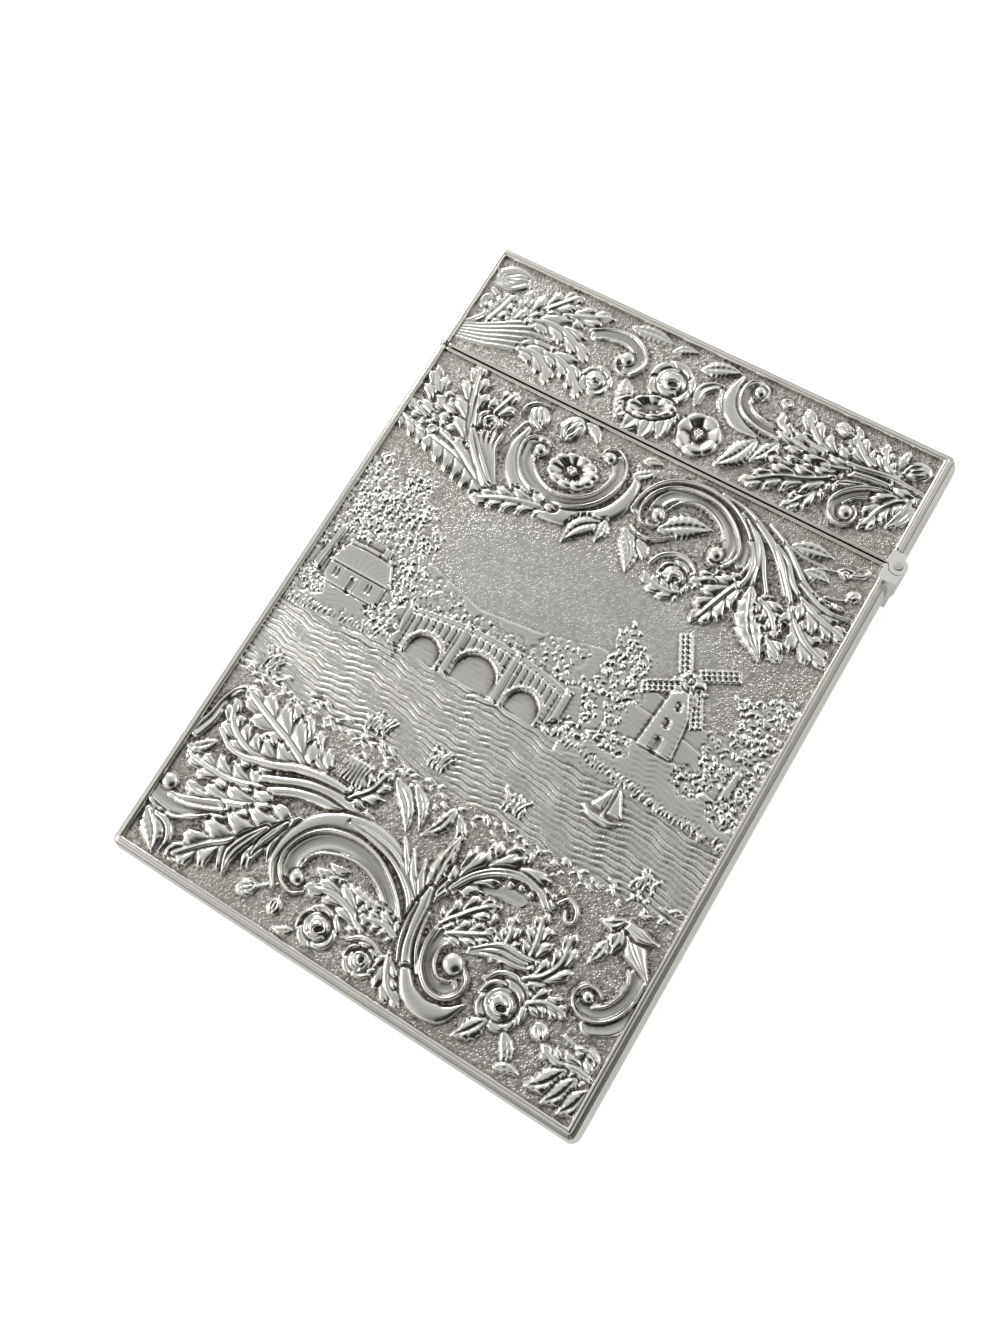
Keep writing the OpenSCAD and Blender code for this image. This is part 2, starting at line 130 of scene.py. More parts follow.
world = bpy.data.worlds.new("tent")
scene.world = world
world.use_nodes = True
tree = world.node_tree
tree.nodes.clear()
way = place(tree, "ShaderNodeTexCoord").outputs["Generated"]
upward = feed(tree, place(tree, "ShaderNodeSeparateXYZ"), Vector=way).outputs["Z"]
height = reckon(tree, "POWER", reckon(tree, "MAXIMUM", upward, 0.0), 2.0)
towards = place(tree, "ShaderNodeVectorMath", operation="DOT_PRODUCT")
feed(tree, towards, i0=way, i1=room_way)
dark = place(tree, "ShaderNodeMapRange", interpolation_type="SMOOTHSTEP")
feed(tree, dark, Value=towards.outputs["Value"], From_Min=room_edge, From_Max=room_heart)
tent = reckon(tree, "MULTIPLY_ADD", height, overhead_light - wall_light, wall_light)
left = reckon(tree, "MULTIPLY_ADD", dark.outputs[0], room_light - 1.0, 1.0)
seen = feed(tree, place(tree, "ShaderNodeBackground"), Strength=reckon(tree, "MULTIPLY", tent, left))
white = feed(tree, place(tree, "ShaderNodeBackground"), Color=(1, 1, 1, 1), Strength=1.0)
rays = place(tree, "ShaderNodeLightPath")
mixed = feed(tree, place(tree, "ShaderNodeMixShader"), i0=rays.outputs["Is Camera Ray"],
             i1=seen.outputs[0], i2=white.outputs[0])
feed(tree, place(tree, "ShaderNodeOutputWorld"), Surface=mixed.outputs[0])

# Paper on the table: part of its white is its own, so that the shadow under the case stays faint.
# The metal shows it a little darker, as the paper at its foot lies in its shade.
paper_z = cad_low.z - 0.0002
paper_half = 3.0
paper_colour = (0.4, 0.4, 0.4, 1)
paper_glow, mirrored_glow = 0.86, 0.38
mesh = bpy.data.meshes.new("paper")
corners = [(x * paper_half, y * paper_half, paper_z) for x, y in ((-1, -1), (1, -1), (1, 1), (-1, 1))]
mesh.from_pydata(corners, [], [(0, 1, 2, 3)])
paper = bpy.data.objects.new("paper", mesh)
scene.collection.objects.link(paper)
stuff = bpy.data.materials.new("paper")
stuff.use_nodes = True
tree = stuff.node_tree
tree.nodes.clear()
rays = place(tree, "ShaderNodeLightPath")
mirrored = reckon(tree, "MAXIMUM", rays.outputs["Is Glossy Ray"], rays.outputs["Is Transmission Ray"])
glow = reckon(tree, "MULTIPLY", rays.outputs["Is Camera Ray"], paper_glow)
glow = reckon(tree, "MAXIMUM", glow, reckon(tree, "MULTIPLY", mirrored, mirrored_glow))
matt = feed(tree, place(tree, "ShaderNodeBsdfDiffuse"), Color=paper_colour)
own = feed(tree, place(tree, "ShaderNodeEmission"), Strength=glow)
both = feed(tree, place(tree, "ShaderNodeAddShader"), i0=matt.outputs[0], i1=own.outputs[0])
feed(tree, place(tree, "ShaderNodeOutputMaterial"), Surface=both.outputs[0])
mesh.materials.append(stuff)

# Lamps: name, direction from the case, distance, side, power in watts
for name, direction, distance, side, power in (
    ("key_lamp", (-0.72, 0.58, 0.38), 0.6, 0.3, 1.3),
    ("fill_lamp", (-0.75, -0.5, 0.45), 0.7, 0.4, 1.1),
    ("rim_lamp", (0.75, 0.7, 0.35), 0.7, 0.3, 0.35),
):
    lamp_data = bpy.data.lights.new(name, "AREA")
    lamp_data.shape = "SQUARE"
    lamp_data.size = side
    lamp_data.energy = power
    lamp = bpy.data.objects.new(name, lamp_data)
    scene.collection.objects.link(lamp)
    lamp.location = Vector(direction).normalized() * distance
    lamp.rotation_euler = lamp.location.to_track_quat("Z", "Y").to_euler()

# Body, front panel.
# One sheet of sterling silver, stamped from behind and chased from the front. The scrolls, leaves and
# flowers stand up to 1.1 mm over a ground that is matted with a round punch. It is soldered to its rim.


def ease(value, low, high):
    """0 under low, 1 over high, and smooth between them"""
    share = np.clip((value - low) / (high - low), 0, 1)
    return share * share * (3 - 2 * share)


def soften(field, cells):
    """The field averaged over a square of this many cells each way, three times"""
    for _ in range(3):
        for axis in (0, 1):
            size = 2 * cells + 1
            edges = [(cells + 1, cells) if a == axis else (0, 0) for a in (0, 1)]
            total = np.cumsum(np.pad(field, edges, mode="edge"), axis=axis)
            count = field.shape[axis]
            later = np.take(total, range(size, size + count), axis=axis)
            field = (later - np.take(total, range(count), axis=axis)) / size
    return field


def flowing(points, spacing=0.12):
    """A smooth line through the points, as points at even spacing"""
    corners = np.array(points, float)
    first = 2 * corners[0] - corners[1]
    last = 2 * corners[-1] - corners[-2]
    corners = np.vstack([first, corners, last])
    t = np.linspace(0, 1, 10, endpoint=False)[:, None]
    bends = []
    for a, b, c, d in zip(corners, corners[1:], corners[2:], corners[3:]):
        cubic = (c - a) * t + (2 * a - 5 * b + 4 * c - d) * t**2 + (3 * b - a - 3 * c + d) * t**3
        bends.append(b + cubic / 2)
    line = np.vstack(bends + [corners[-2:-1]])
    run = np.concatenate([[0], np.cumsum(np.hypot(*np.diff(line, axis=0).T))])
    even = np.linspace(0, run[-1], max(4, int(run[-1] / spacing) + 1))
    return np.column_stack([np.interp(even, run, line[:, 0]), np.interp(even, run, line[:, 1])])


def headings(line):
    """The direction of a line at each of its points"""
    ahead = np.gradient(line, axis=0)
    return ahead / np.hypot(*ahead.T)[:, None]


def spread(along, values):
    """Values at even steps from the start of a line to its end"""
    return np.interp(along, np.linspace(0, 1, len(values)), values)


def turned(direction, degrees):
    """A direction turned to the left"""
    c, s = math.cos(math.radians(degrees)), math.sin(math.radians(degrees))
    return np.array([c * direction[0] - s * direction[1], s * direction[0] + c * direction[1]])


# Sections across a form: the share of its full rise at v, from -1 at its right edge to 1 at its left
def domed(v):
    return np.sqrt(1 - v**2)


def veined(v):
    return np.sqrt(1 - v**2) * (1 - 0.45 * np.exp(-((v / 0.16) ** 2)))


def cupped(v):
    return (1 - v**6) * (0.45 + 0.85 * v**2)


def leafy(v):
    return (1 - v**6) * (0.7 + 0.35 * v**2) * (1 - 0.35 * np.exp(-((v / 0.26) ** 2)))


def creased(v):
    return (1 - v**8) * (0.62 + 0.38 * np.abs(v) ** 2) * (1 - 0.4 * np.exp(-((v / 0.12) ** 2)))


def hollow(v):
    return (1 - v**10) * (0.35 + 0.65 * v**2)


# Farther than any point of the sheet
FAR = 1e6


class Sheet:
    """A sheet laid out as a grid in millimetres, with the rise of its surface over the ground"""

    def __init__(self, low, high, step):
        low, high = np.array(low) / MM, np.array(high) / MM
        self.x = np.linspace(low[0], high[0], round((high[0] - low[0]) / step) + 1)
        self.y = np.linspace(low[1], high[1], round((high[1] - low[1]) / step) + 1)
        self.rise = np.zeros((len(self.y), len(self.x)))
        # How far the matting punch stayed off a spot, from 0 to 1
        self.plain = np.zeros_like(self.rise)

    def window(self, low, high):
        """The part of the grid between two corners, and its columns and rows"""
        i0, i1 = np.searchsorted(self.x, (low[0], high[0]))
        j0, j1 = np.searchsorted(self.y, (low[1], high[1]))
        return (slice(j0, j1), slice(i0, i1)), self.x[None, i0:i1], self.y[j0:j1, None]

    def near(self, line, reach):
        """The cells near a line: where they are in the grid, the share of the way along the line,
        the distance to it, and 1 to its left or -1 to its right"""
        part, x, y = self.window(line.min(0) - reach, line.max(0) + reach)
        away = np.full((y.size, x.size), FAR)
        along = np.zeros_like(away)
        side = np.ones_like(away)
        gap = np.hypot(*(line[1] - line[0]))
        for k, ((px, py), (ax, ay)) in enumerate(zip(line, headings(line))):
            a0, a1 = np.searchsorted(x[0], (px - reach, px + reach))
            b0, b1 = np.searchsorted(y[:, 0], (py - reach, py + reach))
            dx = x[:, a0:a1] - px
            dy = y[b0:b1] - py
            square = dx * dx + dy * dy
            spot = (slice(b0, b1), slice(a0, a1))
            nearer = square < away[spot]
            away[spot][nearer] = square[nearer]
            along[spot][nearer] = (k + np.clip((ax * dx + ay * dy) / gap, -0.5, 0.5))[nearer]
            side[spot][nearer] = np.where(ax * dy - ay * dx < 0, -1.0, 1.0)[nearer]
        return part, along / (len(line) - 1), np.sqrt(away), side

    def lay(self, part, rise, outside, moat, press):
        """Lays a form over what is there, and presses down what lies under it and round it"""
        held = 1 - ease(outside, 0, moat)
        under = self.rise[part] * (1 - press * held) - 0.04 * held
        self.rise[part] = np.where(outside < 0, np.maximum(under, rise), under)
        cover = 1 - ease(outside, -0.05, 0.1)
        self.plain[part] = np.maximum(self.plain[part], cover)

    def chase(self, points, halves, rises, section=domed, moat=0.3, press=0.75, teeth=0):
        """A form along a line, with its half widths and its rises from start to end"""
        line = flowing(points)
        part, along, away, side = self.near(line, 1.2 * max(halves) + moat)
        half = spread(along, halves)
        if teeth:
            half = half * (1.08 - 0.22 * ((along * teeth) % 1))
        v = np.clip(side * away / half, -1, 1)
        rise = spread(along, rises) * section(v)
        if teeth:
            rise = rise * (1 + 0.06 * np.cos(2 * math.pi * (along * teeth - 0.9 * np.abs(v))))
        self.lay(part, rise, away - half, moat, press)

    def disc(self, x, y, long, wide, angle, rise, section=domed, moat=0.3, press=0.75):
        """A round or oval form"""
        reach = max(long, wide) + moat
        part, gx, gy = self.window((x - reach, y - reach), (x + reach, y + reach))
        dx, dy = gx - x, gy - y
        c, s = math.cos(math.radians(angle)), math.sin(math.radians(angle))
        q = np.hypot((c * dx + s * dy) / long, (c * dy - s * dx) / wide)
        self.lay(part, rise * section(np.clip(q, 0, 1)), (q - 1) * min(long, wide), moat, press)

    def slab(self, corners, rise, moat=0.25, press=0.8, slope=0.12):
        """A flat form with straight sides, its corners given round to the left"""
        corners = np.array(corners, float)
        part, x, y = self.window(corners.min(0) - moat, corners.max(0) + moat)
        outside = np.full((y.size, x.size), -FAR)
        for (ax, ay), (bx, by) in zip(corners, np.roll(corners, -1, axis=0)):
            long = math.hypot(bx - ax, by - ay)
            outside = np.maximum(outside, ((x - ax) * (by - ay) - (y - ay) * (bx - ax)) / long)
        self.lay(part, rise * ease(-outside, 0, slope), outside, moat, press)

    def sink(self, points, half, depth):
        """A line cut into what is there, or a hollow where the line is short and wide"""
        part, _, away, _ = self.near(flowing(points), 1.5 * half)
        self.rise[part] -= depth * (1 - ease(away, 0.4 * half, 1.3 * half))

    def mirror(self):
        """Turns the left half over to the right"""
        self.rise = np.where(self.x > 0, self.rise[:, ::-1], self.rise)
        self.plain = np.where(self.x > 0, self.plain[:, ::-1], self.plain)


def lobe(sheet, root, tip, half, rise, bend=0.12, press=0.5):
    """One lobe of a leaf: it leaves its root narrow, ends round, and has a soft crease"""
    root, tip = np.array(root, float), np.array(tip, float)
    way = tip - root
    across = np.array([-way[1], way[0]])
    path = [root, root + 0.4 * way + bend * across, root + 0.75 * way + 0.7 * bend * across, tip]
    sheet.chase(path, (0.45 * half, 0.8 * half, half, half, 0.85 * half, 0.5 * half),
                (0.6 * rise, 0.9 * rise, rise, rise, 0.85 * rise), leafy, 0.14, press)


def acanthus(sheet, spine, lobes, reach, rise, start=0.05, sides=(1, -1)):
    """A leaf cut into round lobes, which bulge and curve away from its rib with dark slots between"""
    part, along, away, side = sheet.near(flowing(spine), 1.15 * reach + 0.4)
    phase = lobes * (along - start) / (1 - start) - 0.9 * (away / reach) ** 0.75 + 0.18 * side
    bulge = np.abs(np.sin(math.pi * phase))
    swell = np.sin(math.pi * np.clip(0.15 + 0.8 * along, 0, 1)) ** 0.5
    half = reach * swell * (0.5 + 0.56 * bulge**0.7 + 0.05 * np.cos(6 * math.pi * phase))
    half = np.where(along < start, 0.22 + 0.1 * reach, half)
    if len(sides) == 1:
        half = np.where(side == sides[0], half, 0.3)
    v = np.clip(away / half, 0, 1)
    form = 0.5 + 0.22 * v + 0.38 * bulge * ease(v, 0.05, 0.5) - 0.4 * (1 - bulge) ** 2 * ease(v, 0.2, 0.6)
    form -= 0.14 * ease(bulge, 0.95, 1.0) * ease(v, 0.4, 0.8)
    rib = 0.4 * np.exp(-((away / 0.26) ** 2)) - 0.2 * np.exp(-(((away - 0.46) / 0.15) ** 2))
    form = (1 - v**6) * form + rib
    sheet.lay(part, rise * spread(along, (0.85, 1.0, 1.0, 0.85)) * form, away - half, 0.25, 0.75)


def scroll(sheet, outer, inner, floor, eye, rise=0.95, half=0.26):
    """A C scroll: a smooth hollow between two thin ridges, wound round a boss at its eye"""
    sheet.chase(floor[0], (floor[1],), (0.62 * rise,), hollow, 0.35)
    if inner:
        sheet.chase(inner, (0.5 * half, half, 0.6 * half), (0.7 * rise, 0.9 * rise, 0.8 * rise),
                    domed, 0.15, 0.3)
    sheet.chase(outer, (0.8 * half, 1.3 * half, 0.9 * half), (0.85 * rise, rise, 0.9 * rise),
                domed, 0.2, 0.4)
    for x, y, r in eye:
        sheet.disc(x, y, 1.2 * r, 1.2 * r, 0, 1.12 * rise, domed, 0.2)


def blade(sheet, base, tip, half, rise, bend=0.0, teeth=7):
    """A pointed leaf with a saw edge and a sunk midrib"""
    base, tip = np.array(base, float), np.array(tip, float)
    way = tip - base
    middle = (base + tip) / 2 + bend * np.array([-way[1], way[0]])
    widths = (0.4 * half, 1.05 * half, 1.2 * half, 1.05 * half, 0.65 * half, 0.1 * half)
    sheet.chase([base, middle, tip], widths, (0.7 * rise, rise, rise, 0.75 * rise), veined, 0.3,
                teeth=teeth)


def bud(sheet, x, y, r, angle, rise, sepals=3, stem=()):
    """A closed bud: a ball in a cup of sepals, on its stem"""
    back = turned((1, 0), angle)
    if stem:
        sheet.chase([(x, y), *stem], (0.2,), (0.5 * rise,), domed, 0.2)
    sheet.disc(x, y, r, 0.82 * r, angle, rise, domed)
    heart = np.array([x, y])
    for k in range(sepals):
        way = turned(back, 42 * (k - (sepals - 1) / 2))
        sheet.chase([heart - 0.95 * r * back, heart - 0.3 * r * back + 0.55 * r * (way - back),
                     heart + 0.55 * r * way], (0.22 * r, 0.2 * r, 0.06 * r),
                    (0.9 * rise, 1.08 * rise, rise), domed, 0.14, 0.35)


def daisy(sheet, x, y, r, petals, rise, squash=1.0, angle=0.0, button=True):
    """An open flower: one ruffled cup of petals round a sunk ring and a button, or a deep mouth"""
    reach = 1.1 * r
    part, across, up = sheet.window((x - reach, y - reach), (x + reach, y + reach))
    c, s = math.cos(math.radians(angle)), math.sin(math.radians(angle))
    dx = c * (across - x) + s * (up - y)
    dy = (c * (up - y) - s * (across - x)) / squash
    far = np.hypot(dx, dy) / r
    ruffle = np.abs(np.cos(0.5 * petals * np.arctan2(dy, dx)))
    edge = 0.92 + 0.08 * ruffle**0.6
    v = np.clip(far / edge, 0, 1)
    heart = 0.25 if button else 0.05
    crease = 0.45 * (1 - ruffle**0.5) * ease(v, heart, heart + 0.2) * (1 - 0.7 * ease(v, 0.6, 0.95))
    petal = (1 - v**8) * (0.6 * heart + 0.95 * ease(v, 0.25, 0.85)) - crease
    sheet.lay(part, rise * petal, (far - edge) * r * squash, 0.25, 0.8)
    if not button:
        return
    sheet.disc(x, y, 0.34 * r, 0.34 * r * squash, angle, 0.06, domed, 0.15, 0.9)
    sheet.disc(x, y, 0.25 * r, 0.25 * r * squash, angle, 0.95 * rise, domed, 0.12)
    for k in range(7):
        way = turned((1, 0), 360 * k / 6) if k else np.zeros(2)
        sheet.disc(x + 0.14 * r * way[0], y + 0.14 * r * way[1] * squash, 0.08 * r, 0.08 * r, 0,
                   1.15 * rise, domed, 0.1, 0.25)


def rose(sheet, x, y, r, rise, turn=0.0):
    """A full rose: broad outer petals lying round a tight ball, whose petals wrap a deep eye"""
    for k in range(5):
        angle = turn + 72 * k
        way = turned((1, 0), angle)
        sheet.disc(x + 0.56 * r * way[0], y + 0.56 * r * way[1], 0.42 * r, 0.62 * r, angle, 0.72 * rise,
                   cupped, 0.16, 0.7)
    sheet.disc(x, y, 0.64 * r, 0.62 * r, 0, 1.1 * rise, domed, 0.14, 0.85)
    heart = np.array([x, y])
    for k, far in enumerate((0.54, 0.46, 0.38, 0.28)):
        wrap = [heart + far * r * turned((1, 0), turn + 130 * k + a) for a in range(-60, 61, 20)]
        sheet.sink(wrap, 0.09 * r, 0.3 * rise)
    eye = heart + 0.12 * r * turned((1, 0), turn - 60)
    sheet.disc(eye[0], eye[1], 0.17 * r, 0.11 * r, turn, 0.4 * rise, domed, 0.06, 0.9)


def upper_border(sheet):
    """Scrolls, leaves and flowers between the picture and the seam"""
    # Great leaf at the left edge, with the feathered leaf under it and the stems that both grow from
    acanthus(sheet, [(-33.8, 20.3), (-30.6, 19.8), (-27.8, 18.9), (-26.2, 17.6)], 4, 2.1, 0.55, 0, (-1,))
    acanthus(sheet, [(-28.6, 19.5), (-24.4, 18.8), (-21, 17.7), (-16.6, 15.2)], 6, 3.0, 0.62, 0, (-1,))
    sheet.chase([(-16.8, 15.8), (-20.6, 18.1), (-24.2, 19.9), (-28.2, 20.8)], (0.3, 0.8, 0.75, 0.3),
                (0.6, 0.72, 0.55), veined, 0.2, 0.5)
    acanthus(sheet, [(-28.2, 21.6), (-31, 21.8), (-33.6, 22.4)], 3, 1.7, 0.6)
    acanthus(sheet, [(-27.8, 21.6), (-30, 24), (-32.8, 28.2)], 3, 2.4, 0.66)
    sheet.chase([(-21.5, 20.2), (-24, 21.6), (-26.6, 22), (-29.4, 22)], (0.6, 0.75, 0.35), (0.7,), domed,
                0.2, 0.5)
    sheet.disc(-28.6, 20.2, 0.9, 0.8, 20, 0.6, cupped)
    acanthus(sheet, [(-23.2, 21.6), (-26, 23.2), (-30.2, 24.4)], 3, 2.2, 0.75)
    acanthus(sheet, [(-22.6, 21.8), (-22.4, 25), (-21, 29.8)], 3, 2.5, 0.8)
    acanthus(sheet, [(-22.8, 20.4), (-24.6, 24), (-26, 27), (-27.4, 31.2)], 4, 2.7, 0.9)
    sheet.chase([(-17.8, 17), (-20.4, 19.2), (-22.8, 21.4), (-24.2, 24.5), (-25.4, 27.6)],
                (0.9, 0.8, 0.45, 0.15), (0.85, 0.95, 1.0), domed, 0.15, 0.4)
    sheet.chase([(-21, 23.5), (-20.8, 25), (-21.8, 25.6), (-22.7, 24.8), (-22.2, 24)],
                (0.35, 0.5, 0.4), (0.75, 0.9, 0.85), domed, 0.2, 0.6)
    for k in range(5):
        shift = 0.95 * k
        sheet.chase([(-16.8 - 0.2 * shift, 17.2), (-18.3 - 0.45 * shift, 19.5),
                     (-19.4 - 0.75 * shift, 21.8), (-19.5 - shift, 24 - 0.3 * shift)],
                    (0.3, 0.42, 0.25), (0.6, 0.85, 0.75), domed, 0.18, 0.5)
    # Left scroll round a daisy
    scroll(sheet, [(-13.3, 23.6), (-14.6, 23.4), (-15, 24.8), (-14, 26), (-12.6, 25.9)], [],
           ([(-14, 24.5), (-13.9, 24.6)], 1.5), [], 0.75, 0.3)
    sheet.chase([(-16.6, 26.5), (-17.1, 23.5), (-16, 20.8), (-13.5, 18.6), (-9.5, 17.4),
                 (-5.8, 17.9), (-2.6, 19.4), (-0.4, 22), (0.2, 25.5), (-0.6, 28.8)],
                (0.4, 1.2, 1.3, 1.3, 1.2, 0.3), (0.6,), domed, 0.3)
    scroll(sheet,
           [(-12.7, 26.1), (-14.3, 26.3), (-15.9, 25.4), (-16.2, 23.5), (-15.3, 21.4), (-13.7, 19.8),
            (-11.5, 18.9), (-9, 18.6), (-6.6, 19), (-4.4, 20.2), (-2.7, 22), (-1.7, 24.2),
            (-1.6, 26.4), (-2.5, 28.4), (-4, 29.4), (-5.3, 29.1), (-5.9, 27.9)],
           [(-13.4, 22.4), (-12, 21.2), (-10, 20.3), (-7.8, 20.3), (-5.6, 21.1), (-4, 22.6),
            (-3.2, 24.6), (-3.2, 26.2), (-3.9, 27.2)],
           ([(-14.9, 24.6), (-14.3, 22), (-12, 20.2), (-9, 19.5), (-6, 20.1), (-3.6, 22), (-2.5, 25),
             (-3.2, 28)], 1.0),
           [(-13.7, 24.5, 0.85), (-4.7, 27.9, 0.85)])
    daisy(sheet, -8.3, 23.9, 3.9, 11, 0.85, 0.72, 12)
    # Buds and leaves over it
    bud(sheet, -16.4, 28.8, 1.9, 120, 0.75, 3, [(-17.6, 27), (-18.3, 24.6)])
    sheet.chase([(-18.9, 28), (-18.5, 29.6), (-17, 30.6), (-15.2, 30.9)], (0.2, 0.35, 0.15), (0.6,))
    bud(sheet, -11.4, 29.4, 2.1, 70, 0.85, 3)
    blade(sheet, (-9.9, 31), (-7.2, 28.9), 0.75, 0.55, 0.15, 4)
    blade(sheet, (-0.4, 29.8), (2.2, 30.4), 0.7, 0.4, 0.1, 5)
    blade(sheet, (-0.7, 27.3), (1.9, 29.6), 0.8, 0.45, -0.1, 5)
    # Leaves that hang under the scroll
    acanthus(sheet, [(-9, 17.5), (-12.3, 16.8), (-15.5, 15.6), (-18.2, 14.2)], 4, 1.9, 0.55)
    blade(sheet, (-1.3, 19.2), (-4.6, 14.6), 1.35, 0.6, -0.12, 8)
    blade(sheet, (-0.8, 19.8), (-0.7, 16.6), 0.8, 0.55, 0.1, 5)
    sheet.disc(-8.3, 18, 1.0, 0.6, 0, 0.55)
    # Right scroll, a wide dark hollow between an outer and an inner ridge
    scroll(sheet, [(1.3, 23.2), (1.6, 25.3), (2.6, 27.5), (4.3, 29.1), (6.5, 30), (9, 30.3),
                   (11.6, 30), (14, 29.1), (16.2, 27.5), (17.8, 25.6), (18.5, 23.6), (18.3, 22)],
           [], ([(1.9, 23.4), (2.3, 25.6), (3.6, 27.8), (5.6, 29.2), (8.8, 29.7), (12, 29.3),
                 (14.8, 27.8), (16.8, 25.6), (17.5, 23)], 0.75), [], 0.85, 0.26)
    scroll(sheet,
           [(5, 22.2), (3.6, 21.9), (2.6, 22.9), (2.4, 24.6), (3, 26.4), (4.5, 28), (6.6, 28.9),
            (9, 29.2), (11.8, 28.8), (14.3, 27.4), (16, 25.6), (16.7, 23.8), (16.3, 22.2),
            (15.2, 21.3), (13.9, 21.3), (13.2, 22.2)],
           [(5.6, 25), (6.6, 26.6), (8.6, 27.6), (10.8, 27.4), (12.8, 26.4), (14.1, 24.9)],
           ([(4.2, 24.6), (4.6, 26.2), (6, 27.6), (8.8, 28.4), (11.5, 28.1), (13.8, 26.8),
             (15.2, 24.8), (15.4, 22.8)], 0.95),
           [(4.9, 23.9, 0.95), (14.1, 22.7, 0.95)], 1.0)
    sheet.chase([(3.9, 22.5), (4.6, 22.1), (5.5, 22.5), (5.8, 23.4), (5.4, 24.6)], (0.2,), (0.9,),
                domed, 0.15, 0.4)
    # Leaf and hooded rosebud in its bend
    blade(sheet, (6.2, 22.4), (12.3, 25.4), 1.6, 0.6, 0.06, 8)
    sheet.chase([(2.5, 20.9), (3.6, 20.4), (5.2, 20.3), (6.8, 21), (8, 22)], (0.25, 0.35, 0.25),
                (0.7, 0.85, 0.7))
    sheet.chase([(7.2, 17.6), (8, 19.2), (9.6, 20.2), (11.4, 20.2), (12.9, 19.2), (13.8, 17.4)],
                (0.3, 0.45, 0.3), (0.6, 0.8, 0.6))
    rose(sheet, 11, 17.3, 2.6, 0.9, 20)
    acanthus(sheet, [(12.6, 15.8), (10.8, 15.2), (8.8, 15.3), (7.4, 15.9)], 3, 1.4, 0.5)
    blade(sheet, (2.1, 20), (5, 15), 1.25, 0.6, 0.1, 7)
    blade(sheet, (4.4, 19.6), (6.3, 17.4), 0.8, 0.5, 0.1, 5)
    acanthus(sheet, [(19.3, 21), (17.2, 20), (15, 19.2), (13.4, 18)], 3, 1.7, 0.65)
    acanthus(sheet, [(18.8, 20.8), (17.8, 18.6), (17, 16.4), (16.1, 13.9)], 3, 2.7, 0.75)
    # Long ribs that sweep from the crown of the scroll to the leaves on the right
    sweeps = [
        [(11, 30.6), (15, 30), (18.5, 28.3), (21.4, 26), (23.2, 23.9), (24.6, 22.2)],
        [(14.5, 29.4), (17.5, 27.6), (19.6, 25.3), (21, 23), (22.4, 21)],
        [(15.6, 28.9), (18, 26.7), (19.3, 24.3), (20, 22), (20.6, 20)],
        [(17, 29.3), (20, 27.6), (22.4, 25.4), (24.3, 23.2), (25.9, 21), (26.3, 19.3)],
        [(17.5, 26.3), (18.9, 24), (19.2, 21.8), (18.9, 20.4)],
        [(18.5, 29.7), (21.5, 28.2), (24, 26.2), (26.4, 24.3), (29, 23.6), (31.4, 23.8)],
        [(20.5, 27.6), (22.8, 26.2), (24.4, 24.2), (26.2, 22.8), (28.5, 22)],
    ]
    for k, sweep in enumerate(sweeps):
        sheet.chase(sweep, (0.25, 0.5, 0.4), (0.55, 0.85 - 0.03 * k, 0.75), domed, 0.18, 0.5)
    # Acanthus under the sweeps, and the spray at the right edge
    acanthus(sheet, [(20.6, 20.2), (22.4, 17.8), (24.6, 16), (27.4, 14.4)], 3, 2.7, 0.8)
    blade(sheet, (20.4, 20.6), (25.8, 12.7), 1.7, 0.95, -0.08, 6)
    acanthus(sheet, [(22, 20), (24, 19), (26, 16.8)], 3, 1.9, 0.75)
    acanthus(sheet, [(26.2, 21), (28, 18.8), (30, 17.4), (32.8, 16.4)], 3, 2.5, 0.66)
    acanthus(sheet, [(26.6, 22.6), (29.4, 21.4), (33.4, 20.4)], 3, 2.3, 0.75)
    sheet.sink([(26.2, 18.5), (26.6, 18.3), (27, 17.8)], 0.45, 0.45)
    sheet.chase([(25.6, 24.2), (28, 23.2), (30.6, 22.6), (33.3, 23)], (0.3, 0.4, 0.3), (0.65,))
    # Buds, tulip and leaves under the seam
    blade(sheet, (22.4, 28.6), (27.6, 29.4), 1.05, 0.5, 0.05, 6)
    blade(sheet, (25.3, 26.2), (28.6, 26.2), 0.95, 0.5, 0.08, 5)
    sheet.chase([(21.5, 28.3), (24, 27.8), (27.5, 27.8)], (0.18,), (0.4,))
    bud(sheet, 30, 28.4, 1.1, 10, 0.7, 3, [(28.5, 27.9), (26.5, 27.3)])
    sheet.chase([(30.6, 28.3), (32, 29), (32.4, 30)], (0.3, 0.4, 0.2), (0.6,))
    bud(sheet, 32.1, 26, 1.0, 60, 0.7, 2, [(31, 24.8), (29, 24.3)])


